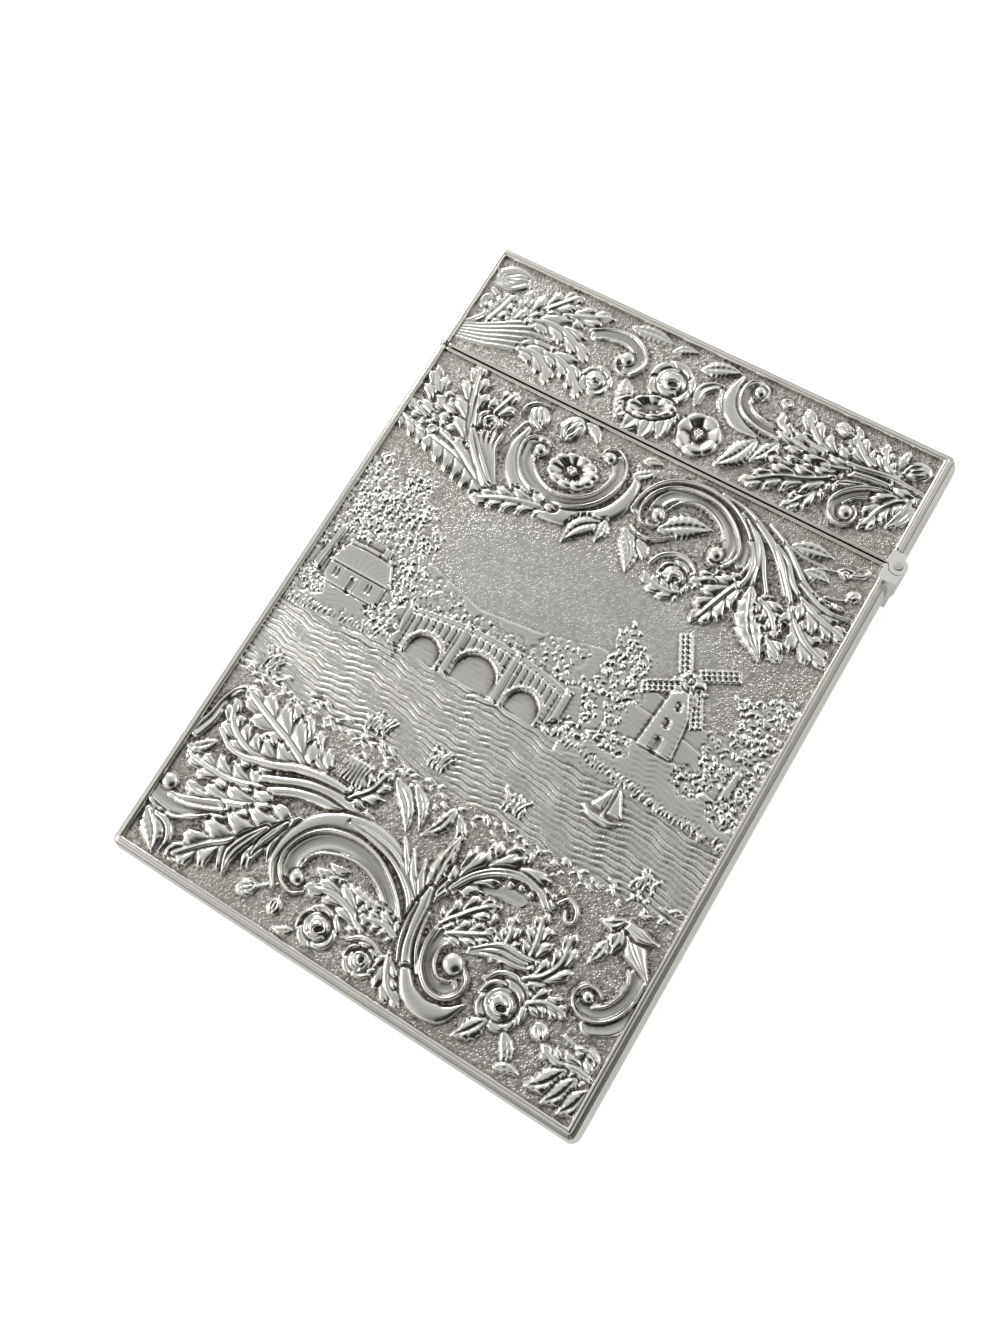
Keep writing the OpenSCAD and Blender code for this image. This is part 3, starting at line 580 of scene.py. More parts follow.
def lower_border(sheet):
    """Scrolls, leaves and flowers between the picture and the foot of the case"""
    # Grass and small leaves along the bank under the picture
    draw = random.Random(11)
    blades = 150
    for k in range(blades):
        x = -33 + 66 * k / blades + draw.uniform(-0.3, 0.3)
        y = -22 - 1.2 * math.sin(0.09 * x + 1) + draw.uniform(-1.4, 1.3)
        way = turned((1, 0), draw.choice((25, 155)) + draw.uniform(-25, 25))
        long = draw.uniform(0.7, 1.6)
        sheet.chase([(x, y), (x + 0.5 * long * way[0], y + 0.6 * long * way[1]),
                     (x + long * way[0], y + 0.9 * long * way[1])], (0.12, 0.24, 0.08),
                    (draw.uniform(0.25, 0.5),), domed, 0.2, 0.5)
    # Stem at the left edge, and the acanthus that rolls back to it
    sheet.chase([(-33.2, -31.5), (-32.3, -29), (-32, -26.5), (-31.2, -24.2), (-29.6, -23.2)],
                (1.0, 0.85, 0.7, 0.3), (0.7, 0.85, 0.6), creased)
    acanthus(sheet, [(-14.6, -27.8), (-18, -26.2), (-21, -24), (-23, -22.6)], 3, 2.3, 0.6)
    acanthus(sheet, [(-17, -28.6), (-21, -26.8), (-25, -25.4), (-29.4, -23.8)], 4, 3.2, 0.68)
    acanthus(sheet, [(-14, -28.3), (-20, -29.6), (-25, -30.3), (-29, -28.6), (-30.6, -26.2)], 5, 2.8,
             0.75, 0.35)
    rolls = [
        [(1, -33.6), (-5, -30.6), (-11, -28.4), (-17, -28.6), (-22, -30.4), (-27, -31.4), (-30.4, -29.8)],
        [(-3, -31.6), (-9, -29.6), (-15, -29.8), (-20, -31.6), (-24.5, -33.4), (-28, -33.2)],
        [(-6, -31.6), (-12, -30.8), (-17, -31.8), (-21, -33.8), (-25.5, -35.5), (-28.8, -34.2)],
    ]
    for roll in rolls:
        sheet.chase(roll, (0.4, 0.85, 0.7, 0.35), (0.7, 1.0, 0.85), domed, 0.14, 0.4)
    acanthus(sheet, [(-10.4, -28.6), (-8.4, -26.4), (-7.6, -23.6)], 3, 2.2, 0.75)
    acanthus(sheet, [(-21, -33.4), (-25, -34.6), (-28.6, -34.8), (-32, -34.6)], 4, 2.5, 0.75)
    acanthus(sheet, [(-18, -34.4), (-22, -36.6), (-26, -38), (-29.6, -38.2)], 3, 2.4, 0.72)
    blade(sheet, (-30, -31.5), (-33.4, -34), 0.9, 0.5, 0.1, 5)
    # Scroll at the left edge
    scroll(sheet, [(-33.4, -42.2), (-31.5, -42.7), (-29, -42.4), (-26.6, -41), (-24.4, -39.6), (-21, -38.6)],
           [(-31.4, -40.4), (-29, -40.4), (-26.5, -39.6), (-23.5, -38.3)],
           ([(-33.4, -40.7), (-30.5, -41), (-27.5, -40), (-25, -38.9)], 1.3),
           [(-32.4, -38.9, 1.05)], 0.85, 0.3)
    # Hanging acanthus with one large lobe, and the leaf in the corner
    acanthus(sheet, [(-14.4, -34.4), (-17.4, -38), (-20.6, -41), (-23.6, -43.4), (-26.4, -46.4)], 5, 3.8,
             0.88)
    sheet.chase([(-17.6, -37.5), (-19, -40), (-19.9, -42.6), (-19.4, -45.2)], (0.4, 0.9, 1.0, 0.25),
                (0.7, 0.95, 0.85), veined)
    sheet.chase([(-15.6, -35.5), (-16.4, -37.4), (-17.2, -39.4), (-17.5, -41.3)], (0.3, 0.6, 0.55, 0.15),
                (0.6, 0.85, 0.7), veined)
    blade(sheet, (-32.8, -43.4), (-29.2, -47.6), 1.75, 0.7, 0.08, 6)
    sheet.chase([(-31.6, -43.2), (-29.4, -43.6), (-28.3, -45.2), (-28.4, -47.2)], (0.3, 0.6, 0.5, 0.15),
                (0.6, 0.7, 0.5), veined)
    bud(sheet, -15.7, -45, 1.5, 215, 0.75, 3, [(-13.6, -43.4), (-12.4, -42.6)])
    bud(sheet, -11.2, -45.1, 1.25, 270, 0.7, 3)
    # Pointed leaves and a fluted bell that hang from the bank
    for base, tip, half in (((-6.2, -23.6), (-1.7, -28.6), 1.0), ((-3.6, -23), (-0.4, -27.6), 0.75),
                            ((2.3, -23.2), (0.1, -28), 0.95), ((3.2, -23.6), (5, -27.4), 0.7)):
        blade(sheet, base, tip, half, 0.6, 0.1, 5)
    for k in range(6):
        sheet.chase([(-12.9 + 0.62 * k, -24), (-12.6 + 0.5 * k, -25.5), (-12.9 + 0.62 * k, -26.9)],
                    (0.3, 0.25, 0.34), (0.5, 0.65, 0.6), domed, 0.12, 0.4)
    # Large scroll left of the middle, its crown running into the central stem
    sheet.chase([(-12.8, -43.2), (-14.6, -40.4), (-14.2, -36.8), (-12.2, -33.4), (-8.6, -31.3),
                 (-4.6, -30.9), (-0.8, -32), (2.6, -34.4), (4.6, -37)], (0.3, 1.2, 1.2, 1.2), (0.6,), domed)
    for shift in (0.0, 0.9):
        sheet.chase([(-8.5, -31.2 - 0.3 * shift), (-5, -30.9 - shift), (-1, -31.8 - shift),
                     (2.4, -34 - shift), (4.4, -36.6 - shift)], (0.25, 0.4, 0.45), (0.55, 0.75, 0.8),
                    domed, 0.15, 0.4)
    scroll(sheet,
           [(-9.4, -40), (-9, -41.4), (-10.2, -42.5), (-12, -42.1), (-13.4, -40.6), (-13.7, -38.3),
            (-12.6, -35.6), (-10.6, -33.7), (-8.2, -32.8), (-5.6, -32.6), (-2.8, -33.2), (-0.2, -34.6),
            (2.2, -36.6), (4, -39)],
           [(-10.9, -39.2), (-10.6, -37.6), (-9.2, -36.2), (-6.8, -35.3), (-4.2, -35.1), (-1.6, -35.9),
            (0.6, -37.4), (1.8, -39)],
           ([(-12, -40.2), (-12.2, -38), (-11, -35.8), (-8.6, -34.2), (-5.6, -33.8), (-2.4, -34.6),
             (0.4, -36.4), (2.4, -38.6)], 1.25),
           [(-10.7, -40.6, 0.95)], 1.0, 0.3)
    blade(sheet, (-5.8, -37.6), (-9.2, -38.4), 0.9, 0.55, 0.1, 4)
    blade(sheet, (-5.2, -36.6), (-8, -36.9), 0.6, 0.5, 0.1, 4)
    sheet.disc(-5.2, -38.1, 0.6, 0.6, 0, 0.7)
    blade(sheet, (-4.6, -38.2), (2.2, -38), 1.1, 0.6, -0.12, 6)
    acanthus(sheet, [(0, -42), (-3, -40.4), (-6, -40), (-8.8, -41)], 3, 1.9, 0.6)
    acanthus(sheet, [(4.2, -40.4), (2, -39.8), (-0.8, -40.6)], 3, 1.6, 0.6)
    # Rose, round bud and small leaves along the foot
    rose(sheet, -5, -44.4, 3.0, 1.0, 40)
    blade(sheet, (-7.6, -46.4), (-10, -47.4), 0.6, 0.45, 0.1, 4)
    sheet.chase([(-1, -43.6), (0.6, -42.5), (2.4, -42.5), (4.2, -43.6)], (0.3, 0.45, 0.3), (0.6, 0.75, 0.6))
    rose(sheet, 1.8, -45, 2.4, 0.95, 100)
    acanthus(sheet, [(4.6, -42.4), (5.4, -44.4), (6.6, -46), (8.6, -47)], 3, 1.9, 0.55)
    # Central stem with its pointed leaves
    blade(sheet, (5, -34.6), (4.7, -25.6), 1.25, 0.75, 0.03, 5)
    sheet.chase([(5.2, -35), (6.6, -31.6), (7.6, -28.6), (8.9, -26)], (0.4, 0.9, 0.8, 0.15),
                (0.7, 0.9, 0.7), veined)
    for start, end in (((-1.4, -29.4), (4, -34.8)), ((0.4, -30), (4.3, -35)), ((2.4, -30.4), (4.8, -35.2))):
        sheet.chase([start, ((start[0] + end[0]) / 2 - 0.4, (start[1] + end[1]) / 2), end],
                    (0.2, 0.55, 0.4), (0.5, 0.75, 0.8), veined, 0.2, 0.5)
    sheet.chase([(4.9, -33), (5.1, -36), (5.5, -39), (6.5, -41.8), (8.6, -44)], (0.5, 1.3, 1.2, 0.7),
                (0.9, 1.1, 1.0), domed)
    sheet.chase([(4.2, -35.4), (4.4, -38), (5, -40.6), (5.9, -42.6)], (0.2, 0.4, 0.3), (0.6, 0.8, 0.6))
    sheet.chase([(6.2, -35.6), (6.5, -38), (7.3, -40.4), (8.8, -42.6)], (0.2, 0.35, 0.3), (0.6, 0.85, 0.7))
    # Great volute at the foot of the stem
    sheet.chase([(7.4, -43.2), (9, -45), (11.4, -45.8), (14, -45), (15.7, -42.8)], (0.8, 1.3, 1.3, 0.3),
                (0.65,), domed)
    scroll(sheet, [(7.9, -36.6), (7.8, -39), (8.8, -41.8), (10.8, -43.5), (13, -43.5), (14.5, -42),
                   (14.5, -40.2), (13.2, -39)],
           [(10.6, -37), (9.7, -38.6), (10, -40.4), (11.2, -41.6), (12.6, -41.4)],
           ([(9.2, -36.6), (8.9, -39), (9.8, -41.4), (11.6, -42.6), (13.2, -41.8)], 1.0),
           [(12, -39.3, 1.25)], 1.0, 0.36)
    # Acanthus arched over the hollow at the right of the stem
    arch = [(7, -31.6), (8.6, -29), (11, -27), (14, -26), (17, -26.6), (18.8, -28)]
    sheet.chase([(8.4, -31.8), (10.2, -29.8), (12.6, -28.8), (15.4, -28.6)], (0.9, 1.0, 0.8), (0.35,),
                hollow)
    acanthus(sheet, [(7.4, -31.8), (8.6, -28.6), (10.4, -26), (13, -23.4)], 3, 2.8, 0.75)
    acanthus(sheet, arch, 4, 2.7, 0.85, sides=(1,))
    sheet.chase(arch, (0.5, 0.75, 0.5), (0.8, 0.95, 0.8), veined, 0.2)
    for x, y in ((13.2, -27.4), (14.6, -27.1), (16, -27.3), (18.6, -26), (19.2, -24.9)):
        sheet.disc(x, y, 0.6, 0.5, 0, 0.85)
    sheet.chase([(19.4, -26.4), (20.4, -25.3), (21.8, -26), (22.2, -27.5), (21.2, -27.8), (20.6, -26.8)],
                (0.35, 0.4, 0.3), (0.7, 0.85, 0.7))
    sheet.disc(13.1, -32.1, 0.95, 0.95, 0, 0.75, cupped)
    acanthus(sheet, [(8, -36), (9.4, -34.4), (11, -32.4), (13, -30.6)], 3, 2.1, 0.7)
    acanthus(sheet, [(9.4, -36.6), (12, -35.2), (14.8, -33.6)], 3, 1.8, 0.65)
    acanthus(sheet, [(19.8, -35), (19.6, -32), (18.8, -28.8)], 3, 2.2, 0.7)
    acanthus(sheet, [(15.8, -36.4), (16.4, -33.6), (15.8, -30.8)], 3, 1.7, 0.65)
    for shift in (0.0, 0.8, 1.6):
        sheet.chase([(12.8, -37.2 + 0.3 * shift), (16, -35.9 + shift), (19.4, -35.4 + 0.8 * shift),
                     (23, -34 + 0.4 * shift)], (0.2, 0.45, 0.2), (0.5, 0.7, 0.5), domed, 0.18, 0.5)
    # Rose at the right, and what grows below it
    sheet.chase([(16.4, -38.8), (17.4, -37.2), (19.4, -36.6), (21.6, -37.3), (22.8, -38.8)],
                (0.3, 0.5, 0.3), (0.6, 0.75, 0.6))
    rose(sheet, 19.6, -40.4, 3.4, 1.0, 10)
    blade(sheet, (18.9, -43), (16.2, -46.6), 1.15, 0.65, 0.05, 5)
    blade(sheet, (21.6, -43), (23.6, -46.8), 0.8, 0.5, 0.1, 5)
    blade(sheet, (22.6, -46.9), (25.8, -46.2), 0.6, 0.5, 0.1, 4)
    acanthus(sheet, [(20.4, -36.2), (22.2, -34.9), (23.4, -32.4), (23, -29)], 3, 1.9, 0.65)
    acanthus(sheet, [(22.2, -38.6), (24.2, -37.4), (26.8, -37.4)], 3, 1.8, 0.6)
    # Scroll at the right edge
    scroll(sheet, [(28.9, -34.6), (27.8, -35.2), (27, -34.2), (27.6, -33), (28.9, -32.9)], [],
           ([(30, -36.8), (32, -35.6), (33.3, -33.6)], 1.3), [], 0.8, 0.3)
    scroll(sheet,
           [(29.6, -33.4), (28.6, -32.8), (27.2, -33), (26.5, -34.4), (27, -35.8), (28.6, -36.5),
            (30.6, -36), (32.2, -34.4), (33.1, -32), (33.3, -29.2)],
           [(29.2, -34.9), (30.4, -34), (31.2, -32.4), (31.4, -30.6), (30.8, -28.9)],
           ([(28, -35.2), (30, -35), (31.6, -33.4), (32.3, -31), (32, -28.9)], 1.0),
           [(28.1, -34.1, 0.75)], 0.95)
    # Ivy leaf above it
    for tip, half in (((33.4, -29), 1.5), ((27.4, -29.2), 1.35), ((32.4, -24.6), 1.1), ((25, -25.4), 1.1)):
        sheet.chase([(27.4, -24.2), ((27.4 + tip[0]) / 2 + 0.2, (-24.2 + tip[1]) / 2 - 0.3), tip],
                    (0.5, half, 0.15), (0.7, 0.9, 0.7), veined, 0.22, 0.6)
    blade(sheet, (26.8, -27.4), (26, -30.6), 0.9, 0.65, 0.08, 4)
    # Buds and leaves in the right corner
    bud(sheet, 25.2, -40.6, 1.35, 130, 0.75, 3, [(26.4, -42.2), (27.6, -43)])
    bud(sheet, 31.6, -40.2, 1.7, 350, 0.75, 3, [(29.4, -39.7), (28, -39.4)])
    acanthus(sheet, [(33.2, -42.2), (31, -42), (29, -42.6), (26.6, -42)], 3, 1.9, 0.7)
    blade(sheet, (30, -43), (26.8, -46.8), 1.35, 0.7, 0.1, 5)
    blade(sheet, (31.6, -43.2), (29.4, -47.4), 1.25, 0.65, 0.1, 5)
    blade(sheet, (33.4, -43.6), (31.6, -47.5), 1.25, 0.65, 0.1, 5)


def foliage(sheet, draw, heart, wide, high, clumps, rise):
    """A crown of small leaves in clumps, with dark gaps between them and a ragged edge"""
    sheet.disc(*heart, 0.8 * wide, 0.8 * high, 0, 0.3 * rise, domed, 0.5)
    for _ in range(clumps):
        turn, far = draw.uniform(0, 2 * math.pi), math.sqrt(draw.uniform(0, 1))
        x = heart[0] + 0.95 * wide * far * math.cos(turn)
        y = heart[1] + 0.95 * high * far * math.sin(turn)
        height = rise * draw.uniform(0.7, 1.15) * (1.1 - 0.35 * far)
        sheet.disc(x, y, 0.8, 0.6, draw.uniform(0, 180), 0.6 * height, domed, 0.5, 0.95)
        for _ in range(12):
            r, tilt = draw.uniform(0.22, 0.45), draw.uniform(0, 180)
            spot = (draw.gauss(x, 0.55), draw.gauss(y, 0.42))
            sheet.disc(*spot, r, 0.55 * r, tilt, height * draw.uniform(0.6, 1.15), domed, 0.12, 0.6)


def grass(sheet, draw, line, blades, rise, long=1.0):
    """Tufts along a bank"""
    bank = flowing(line)
    for _ in range(blades):
        x, y = bank[draw.randrange(len(bank))] + (draw.uniform(-0.4, 0.4), draw.uniform(-0.5, 0.3))
        lean = draw.uniform(-0.5, 0.5)
        size = long * draw.uniform(0.6, 1.2)
        sheet.chase([(x, y), (x + 0.3 * lean * size, y + 0.5 * size), (x + lean * size, y + size)],
                    (0.14, 0.17, 0.06), (rise,), domed, 0.14, 0.5)


def hill(sheet, crest, foot_y, rise):
    """Ground that rises to a crest line, with strokes that follow its slope"""
    crest = np.array(crest, float)
    part, x, y = sheet.window((crest[0, 0], foot_y - 0.3), (crest[-1, 0], crest[:, 1].max() + 0.4))
    top = np.interp(x, crest[:, 0], crest[:, 1]) + 0 * y
    depth = top - y
    field = rise * (0.55 + 0.45 * np.exp(-np.maximum(depth, 0) / 1.2)) * ease(depth, 0, 0.25)
    field = field * ease(y - foot_y, -0.2, 0.6)
    strokes = np.sin(9 * (depth + 0.25 * np.sin(0.9 * x) + 0.12 * np.sin(2.7 * x + y)))
    outside = np.maximum(-depth, foot_y - y)
    sheet.lay(part, field * (1 + 0.16 * strokes), outside, 0.3, 0.8)


def arched_bridge(sheet):
    """Stone bridge of three arches, humped in the middle"""
    low_y, left, right = -8.6, -17.0, 7.0

    def deck(x):
        return -3.1 + 1.7 * math.cos(math.pi * (x + 5) / 26)

    steps = 24
    width = (right - left) / steps
    for k in range(steps):
        x = left + k * width
        sheet.slab([(x, low_y), (x + width + 0.05, low_y), (x + width + 0.05, deck(x + width)), (x, deck(x))],
                   0.42, 0.01, 0.95, 0.01)
    parapet = [(left + k * width, deck(left + k * width) - 0.25) for k in range(steps + 1)]
    sheet.chase(parapet, (0.34,), (0.6,), hollow, 0.22, 0.4)
    sheet.chase([(x, y - 0.75) for x, y in parapet], (0.16,), (0.52,), domed, 0.1, 0.2)
    for x, half, top in ((-12.6, 2.3, -5.3), (-5.0, 3.1, -4.1), (2.6, 2.3, -5.3)):
        part, gx, gy = sheet.window((x - half - 1, low_y - 0.2), (x + half + 1, top + 1))
        spring = top - half
        q = np.hypot(gx - x, np.maximum(gy - spring, 0)) - half
        ring = (np.abs(q - 0.3) < 0.3) & (gy > spring - 3.5)
        stones = 0.06 * (np.sin(26 * np.arctan2(gy - spring, gx - x)) < -0.8)
        sheet.rise[part] = np.where(ring, 0.54 - stones, sheet.rise[part])
        sheet.rise[part] = np.where(q < 0, -0.05 + 0.1 * ease(gy - low_y, 2.0, 0), sheet.rise[part])
    draw = random.Random(5)
    for row in range(7):
        y = low_y + 0.75 * row
        for _ in range(15):
            x = draw.uniform(left, right - 1)
            if y < deck(x) - 1.4:
                sheet.sink([(x, y), (x + draw.uniform(0.6, 1.2), y)], 0.09, 0.05)
    for x in (left, -8.9, -1.2, right):
        sheet.slab([(x - 0.6, low_y - 0.2), (x + 0.6, low_y - 0.2), (x + 0.45, deck(x) + 0.1),
                    (x - 0.45, deck(x) + 0.1)], 0.58, 0.15, 0.5)
        sheet.slab([(x - 0.7, deck(x)), (x + 0.7, deck(x)), (x + 0.5, deck(x) + 0.5),
                    (x - 0.5, deck(x) + 0.5)], 0.66, 0.15, 0.5)


def tower_mill(sheet):
    """Round tower mill with a boat-shaped cap and four lattice sails"""
    x, foot, head = 20.0, -4.2, 5.2
    sheet.slab([(x - 2.5, foot), (x + 2.5, foot), (x + 1.7, head), (x - 1.7, head)], 0.5, 0.35)
    part, gx, gy = sheet.window((x - 2.5, foot), (x + 2.5, head))
    half = 2.5 - 0.8 * (gy - foot) / (head - foot)
    v = np.clip((gx - x) / half, -1, 1)
    courses = 0.03 * (np.sin(2 * math.pi * gy / 0.75) > 0.86)
    sheet.rise[part] = np.where(np.abs(gx - x) < half - 0.1, 0.34 + 0.3 * np.sqrt(1 - v**2) - courses,
                                sheet.rise[part])
    for wx, wy, wide, high in ((x, foot + 1, 0.6, 1.0), (x - 0.2, foot + 4, 0.36, 0.5),
                               (x + 0.1, foot + 6.6, 0.32, 0.45)):
        side = wide + 0.15
        sheet.slab([(wx - side, wy - high), (wx + side, wy - high), (wx + side, wy + high),
                    (wx - side, wy + high)], 0.68, 0.1, 0.2)
        sheet.sink([(wx, wy - 0.7 * high), (wx, wy + 0.5 * high)], wide, 0.4)
    sheet.chase([(x - 2.1, head + 0.3), (x, head + 0.45), (x + 2.1, head + 0.3)], (0.35,), (0.66,))
    sheet.disc(x, head + 0.9, 1.9, 1.35, 0, 0.7)
    hub = np.array([x - 0.3, head + 1.0])
    for k in range(4):
        way = turned((1, 0), 28 + 90 * k)
        across = turned(way, 90)
        for side in (0.0, 0.75, 1.35):
            sheet.chase([hub + 1.2 * way * (side > 0) + side * across, hub + 3.6 * way + side * across,
                         hub + 6.2 * way + side * across], (0.17 if side == 0 else 0.11,), (0.62,),
                        domed, 0.14, 0.5)
        for bar in range(8):
            start = hub + (1.3 + 0.69 * bar) * way
            sheet.chase([start, start + 0.7 * across, start + 1.4 * across], (0.1,), (0.58,), domed, 0.1, 0.3)
    sheet.disc(*hub, 0.45, 0.45, 0, 0.85)


def thatched_cottage(sheet):
    """Cottage with a thatched roof, two windows, a door and a chimney"""
    x0, x1, foot, eaves, ridge = -30.5, -21.5, -5.6, -2.4, 0.9
    sheet.slab([(x0, foot), (x1, foot), (x1, eaves), (x0, eaves)], 0.4, 0.3)
    for x in (-28.8, -23.6):
        sheet.slab([(x - 0.7, foot + 1.1), (x + 0.7, foot + 1.1), (x + 0.7, foot + 2.5),
                    (x - 0.7, foot + 2.5)], 0.52, 0.1, 0.2)
        for cut in (-0.28, 0.28):
            sheet.sink([(x + cut, foot + 1.35), (x + cut, foot + 2.2)], 0.22, 0.34)
    sheet.slab([(-26.8, foot), (-25.4, foot), (-25.4, foot + 2.3), (-26.8, foot + 2.3)], 0.52, 0.1, 0.2)
    sheet.sink([(-26.1, foot + 0.2), (-26.1, foot + 1.7)], 0.45, 0.32)
    sheet.slab([(x0 - 0.6, eaves - 0.2), (x1 + 0.6, eaves - 0.2), (x1 - 1.2, ridge), (x0 + 1.2, ridge)],
               0.56, 0.25)
    for k in range(30):
        x = x0 - 0.3 + 0.31 * k
        sheet.sink([(x, eaves), (x + 0.13 * (15 - k) / 2.5, ridge - 0.3)], 0.07, 0.07)
    sheet.chase([(x0 + 1.1, ridge), (-26, ridge + 0.2), (x1 - 1.1, ridge)], (0.28,), (0.66,))
    sheet.slab([(-24.6, ridge), (-23.4, ridge), (-23.4, ridge + 1.5), (-24.6, ridge + 1.5)], 0.55, 0.2)


def river(sheet, bank):
    """Water in long ripples under the bank line"""
    bank = np.array(bank, float)
    part, x, y = sheet.window((-33.5, -21.5), (33.6, bank[:, 1].max() + 0.5))
    edge = np.interp(x, bank[:, 0], bank[:, 1]) + 0 * y
    wander = 0.55 * np.sin(0.33 * x + 0.2 * y) + 0.2 * np.sin(0.9 * x - 0.5 * y + 1)
    wander += 0.1 * np.sin(2.1 * x + 0.8 * y)
    ripple = np.sin(2 * math.pi * (1.25 * y + wander))
    gaps = np.sin(0.3 * x + 1.3 * y + 1.5 * np.sin(0.5 * y)) + 0.4 * np.sin(1.1 * x + 0.6 * y)
    broken = ease(gaps, -1.0, 0.2)
    field = (0.1 * ripple - 0.12 * np.clip((-ripple - 0.6) / 0.3, 0, 1)) * (0.3 + 0.7 * broken)
    under = ease(edge - y, 0, 0.4)
    sheet.rise[part] += under * field
    sheet.plain[part] = np.maximum(sheet.plain[part], 0.75 * under)


def landscape(sheet):
    """A river valley in low relief, made up for this case"""
    draw = random.Random(23)
    # The sky is rubbed smoother than the ground of the ornament
    part, x, y = sheet.window((-33.5, -3), (33.6, 20))
    sheet.plain[part] = 0.65 * (1 - ease(np.hypot((x - 2) / 30, (y - 7) / 12), 0.5, 1.0))
    hill(sheet, [(-33.5, 3.2), (-26, 5), (-18, 3.4), (-9, 1.2), (0, 2.4), (8, 4.6), (16, 3), (24, 1.5),
                 (33.6, 3.4)], -9, 0.16)
    hill(sheet, [(-33.5, -1), (-24, -1.6), (-14, -2.4), (-5, -1.4), (4, -0.6), (13, 0.4), (20, -0.2),
                 (27, -1.8), (33.6, -0.6)], -9.5, 0.22)
    for x, y, wide, high in ((-16.4, 0.4, 1.7, 1.3), (-12.8, 0.2, 1.3, 1.0), (1.6, 1.2, 1.6, 1.1),
                             (4.9, 1.7, 1.9, 1.4), (27, 0.6, 1.9, 1.5), (13.4, 1.4, 1.5, 1.2)):
        foliage(sheet, draw, (x, y), wide, high, 5, 0.3)
    hill(sheet, [(9, -7), (13, -5), (17, -4), (23, -4), (28, -5.4), (33.6, -6.6)], -10.5, 0.34)
    hill(sheet, [(-33.5, -5), (-27, -5.2), (-20, -5.8), (-16, -7.4)], -10.5, 0.34)
    for k in range(13):
        foliage(sheet, draw, (-16.5 + 1.9 * k, -1 + 0.5 * math.sin(1.3 * k)), 1.5, 0.9, 5, 0.3)
    for x, y, wide, high, clumps in ((-31.8, 11.2, 2.0, 2.6, 15), (-26, 12, 2.2, 1.9, 13),
                                     (-24.2, 7.6, 2.6, 3.4, 25), (-22, 3.6, 2.2, 2.6, 15),
                                     (-28, 4.6, 2.8, 2.4, 18)):
        foliage(sheet, draw, (x, y), wide, high, clumps, 0.5)
    arched_bridge(sheet)
    thatched_cottage(sheet)
    tower_mill(sheet)
    river(sheet, [(-33.5, -10.4), (-24, -9.4), (-17, -8.4), (7, -8.4), (14, -9.6), (24, -10.6),
                  (33.6, -11.2)])
    for x, foot, head, wide in ((-19.6, -6.4, 7.6, 1.15), (10.2, -6.4, 8.6, 1.25), (12.9, -6, 6.2, 1.05)):
        sheet.chase([(x, foot), (x, foot + 2.5)], (0.3, 0.22), (0.45,))
        foliage(sheet, draw, (x, (foot + head) / 2 + 1), wide, (head - foot) / 2 - 0.4, 21, 0.5)
        foliage(sheet, draw, (x, head - 1.4), 0.5 * wide, 1.6, 5, 0.5)
    for x, y, wide, high, clumps in ((-31, 5.6, 3.2, 3.6, 28), (-28.2, 8.2, 2.6, 2.4, 16),
                                     (-32.2, 0.4, 2.0, 2.6, 15), (30.4, 2.4, 3.0, 4.2, 31),
                                     (28.4, 6.4, 1.9, 1.9, 10), (31.6, 8, 2.0, 2.4, 13),
                                     (32, -3.4, 1.8, 2.6, 15), (27.6, -2.6, 1.6, 2.0, 10)):
        foliage(sheet, draw, (x, y), wide, high, clumps, 0.55)
    sheet.chase([(-31.4, 2), (-31.7, -1.6), (-32, -5)], (0.5, 0.6, 0.8), (0.5,), veined)
    sheet.chase([(30.6, -1.5), (30.4, -4), (30.7, -6.4)], (0.45, 0.55, 0.75), (0.5,), veined)
    for x, y, wide, high in ((-20.4, -6.2, 2.6, 1.0), (-32, -6.4, 2.0, 1.1), (9.6, -7.4, 2.2, 1.0),
                             (25.6, -5.4, 2.0, 1.1), (31.6, -7, 2.2, 1.2), (15, -5.6, 1.6, 0.9)):
        foliage(sheet, draw, (x, y), wide, high, 10, 0.5)
    grass(sheet, draw, [(-33.5, -10), (-24, -9), (-17.5, -8.2)], 90, 0.4)
    grass(sheet, draw, [(7.5, -8.2), (14, -9.2), (24, -10.2), (33.5, -10.8)], 130, 0.4)
    # Boat with two sails on the river
    x, y = 18.6, -14.6
    sheet.chase([(x - 2.6, y + 0.3), (x - 1.4, y - 0.25), (x + 1, y - 0.3), (x + 2.4, y + 0.35)],
                (0.15, 0.5, 0.5, 0.15), (0.5,))
    sheet.chase([(x, y), (x, y + 5.2)], (0.12,), (0.5,), domed, 0.1)
    sheet.slab([(x + 0.2, y + 0.7), (x + 2.5, y + 0.8), (x + 0.25, y + 4.9)], 0.42, 0.2, 0.8, 0.3)
    sheet.slab([(x - 0.25, y + 0.7), (x - 0.25, y + 4.4), (x - 2.1, y + 0.9)], 0.38, 0.2, 0.8, 0.3)
    # Reeds in front of the water
    for x in (-29.5, -12.4, -3, 8.6, 27.4):
        grass(sheet, draw, [(x - 1.2, -19.6), (x + 1.2, -19.4)], 16, 0.5, 2.2)


def matt_ground(sheet, depth, seed):
    """The ground as the matting punch leaves it, and the faint waviness of hand-worked sheet"""
    draw = np.random.default_rng(seed)
    waviness = 0.006
    grain = draw.random(sheet.rise.shape) - 0.5
    swell = soften(draw.random(sheet.rise.shape), 12) - 0.5
    sheet.rise += depth * grain / grain.std() * (1 - sheet.plain)
    sheet.rise += waviness * swell / swell.std()


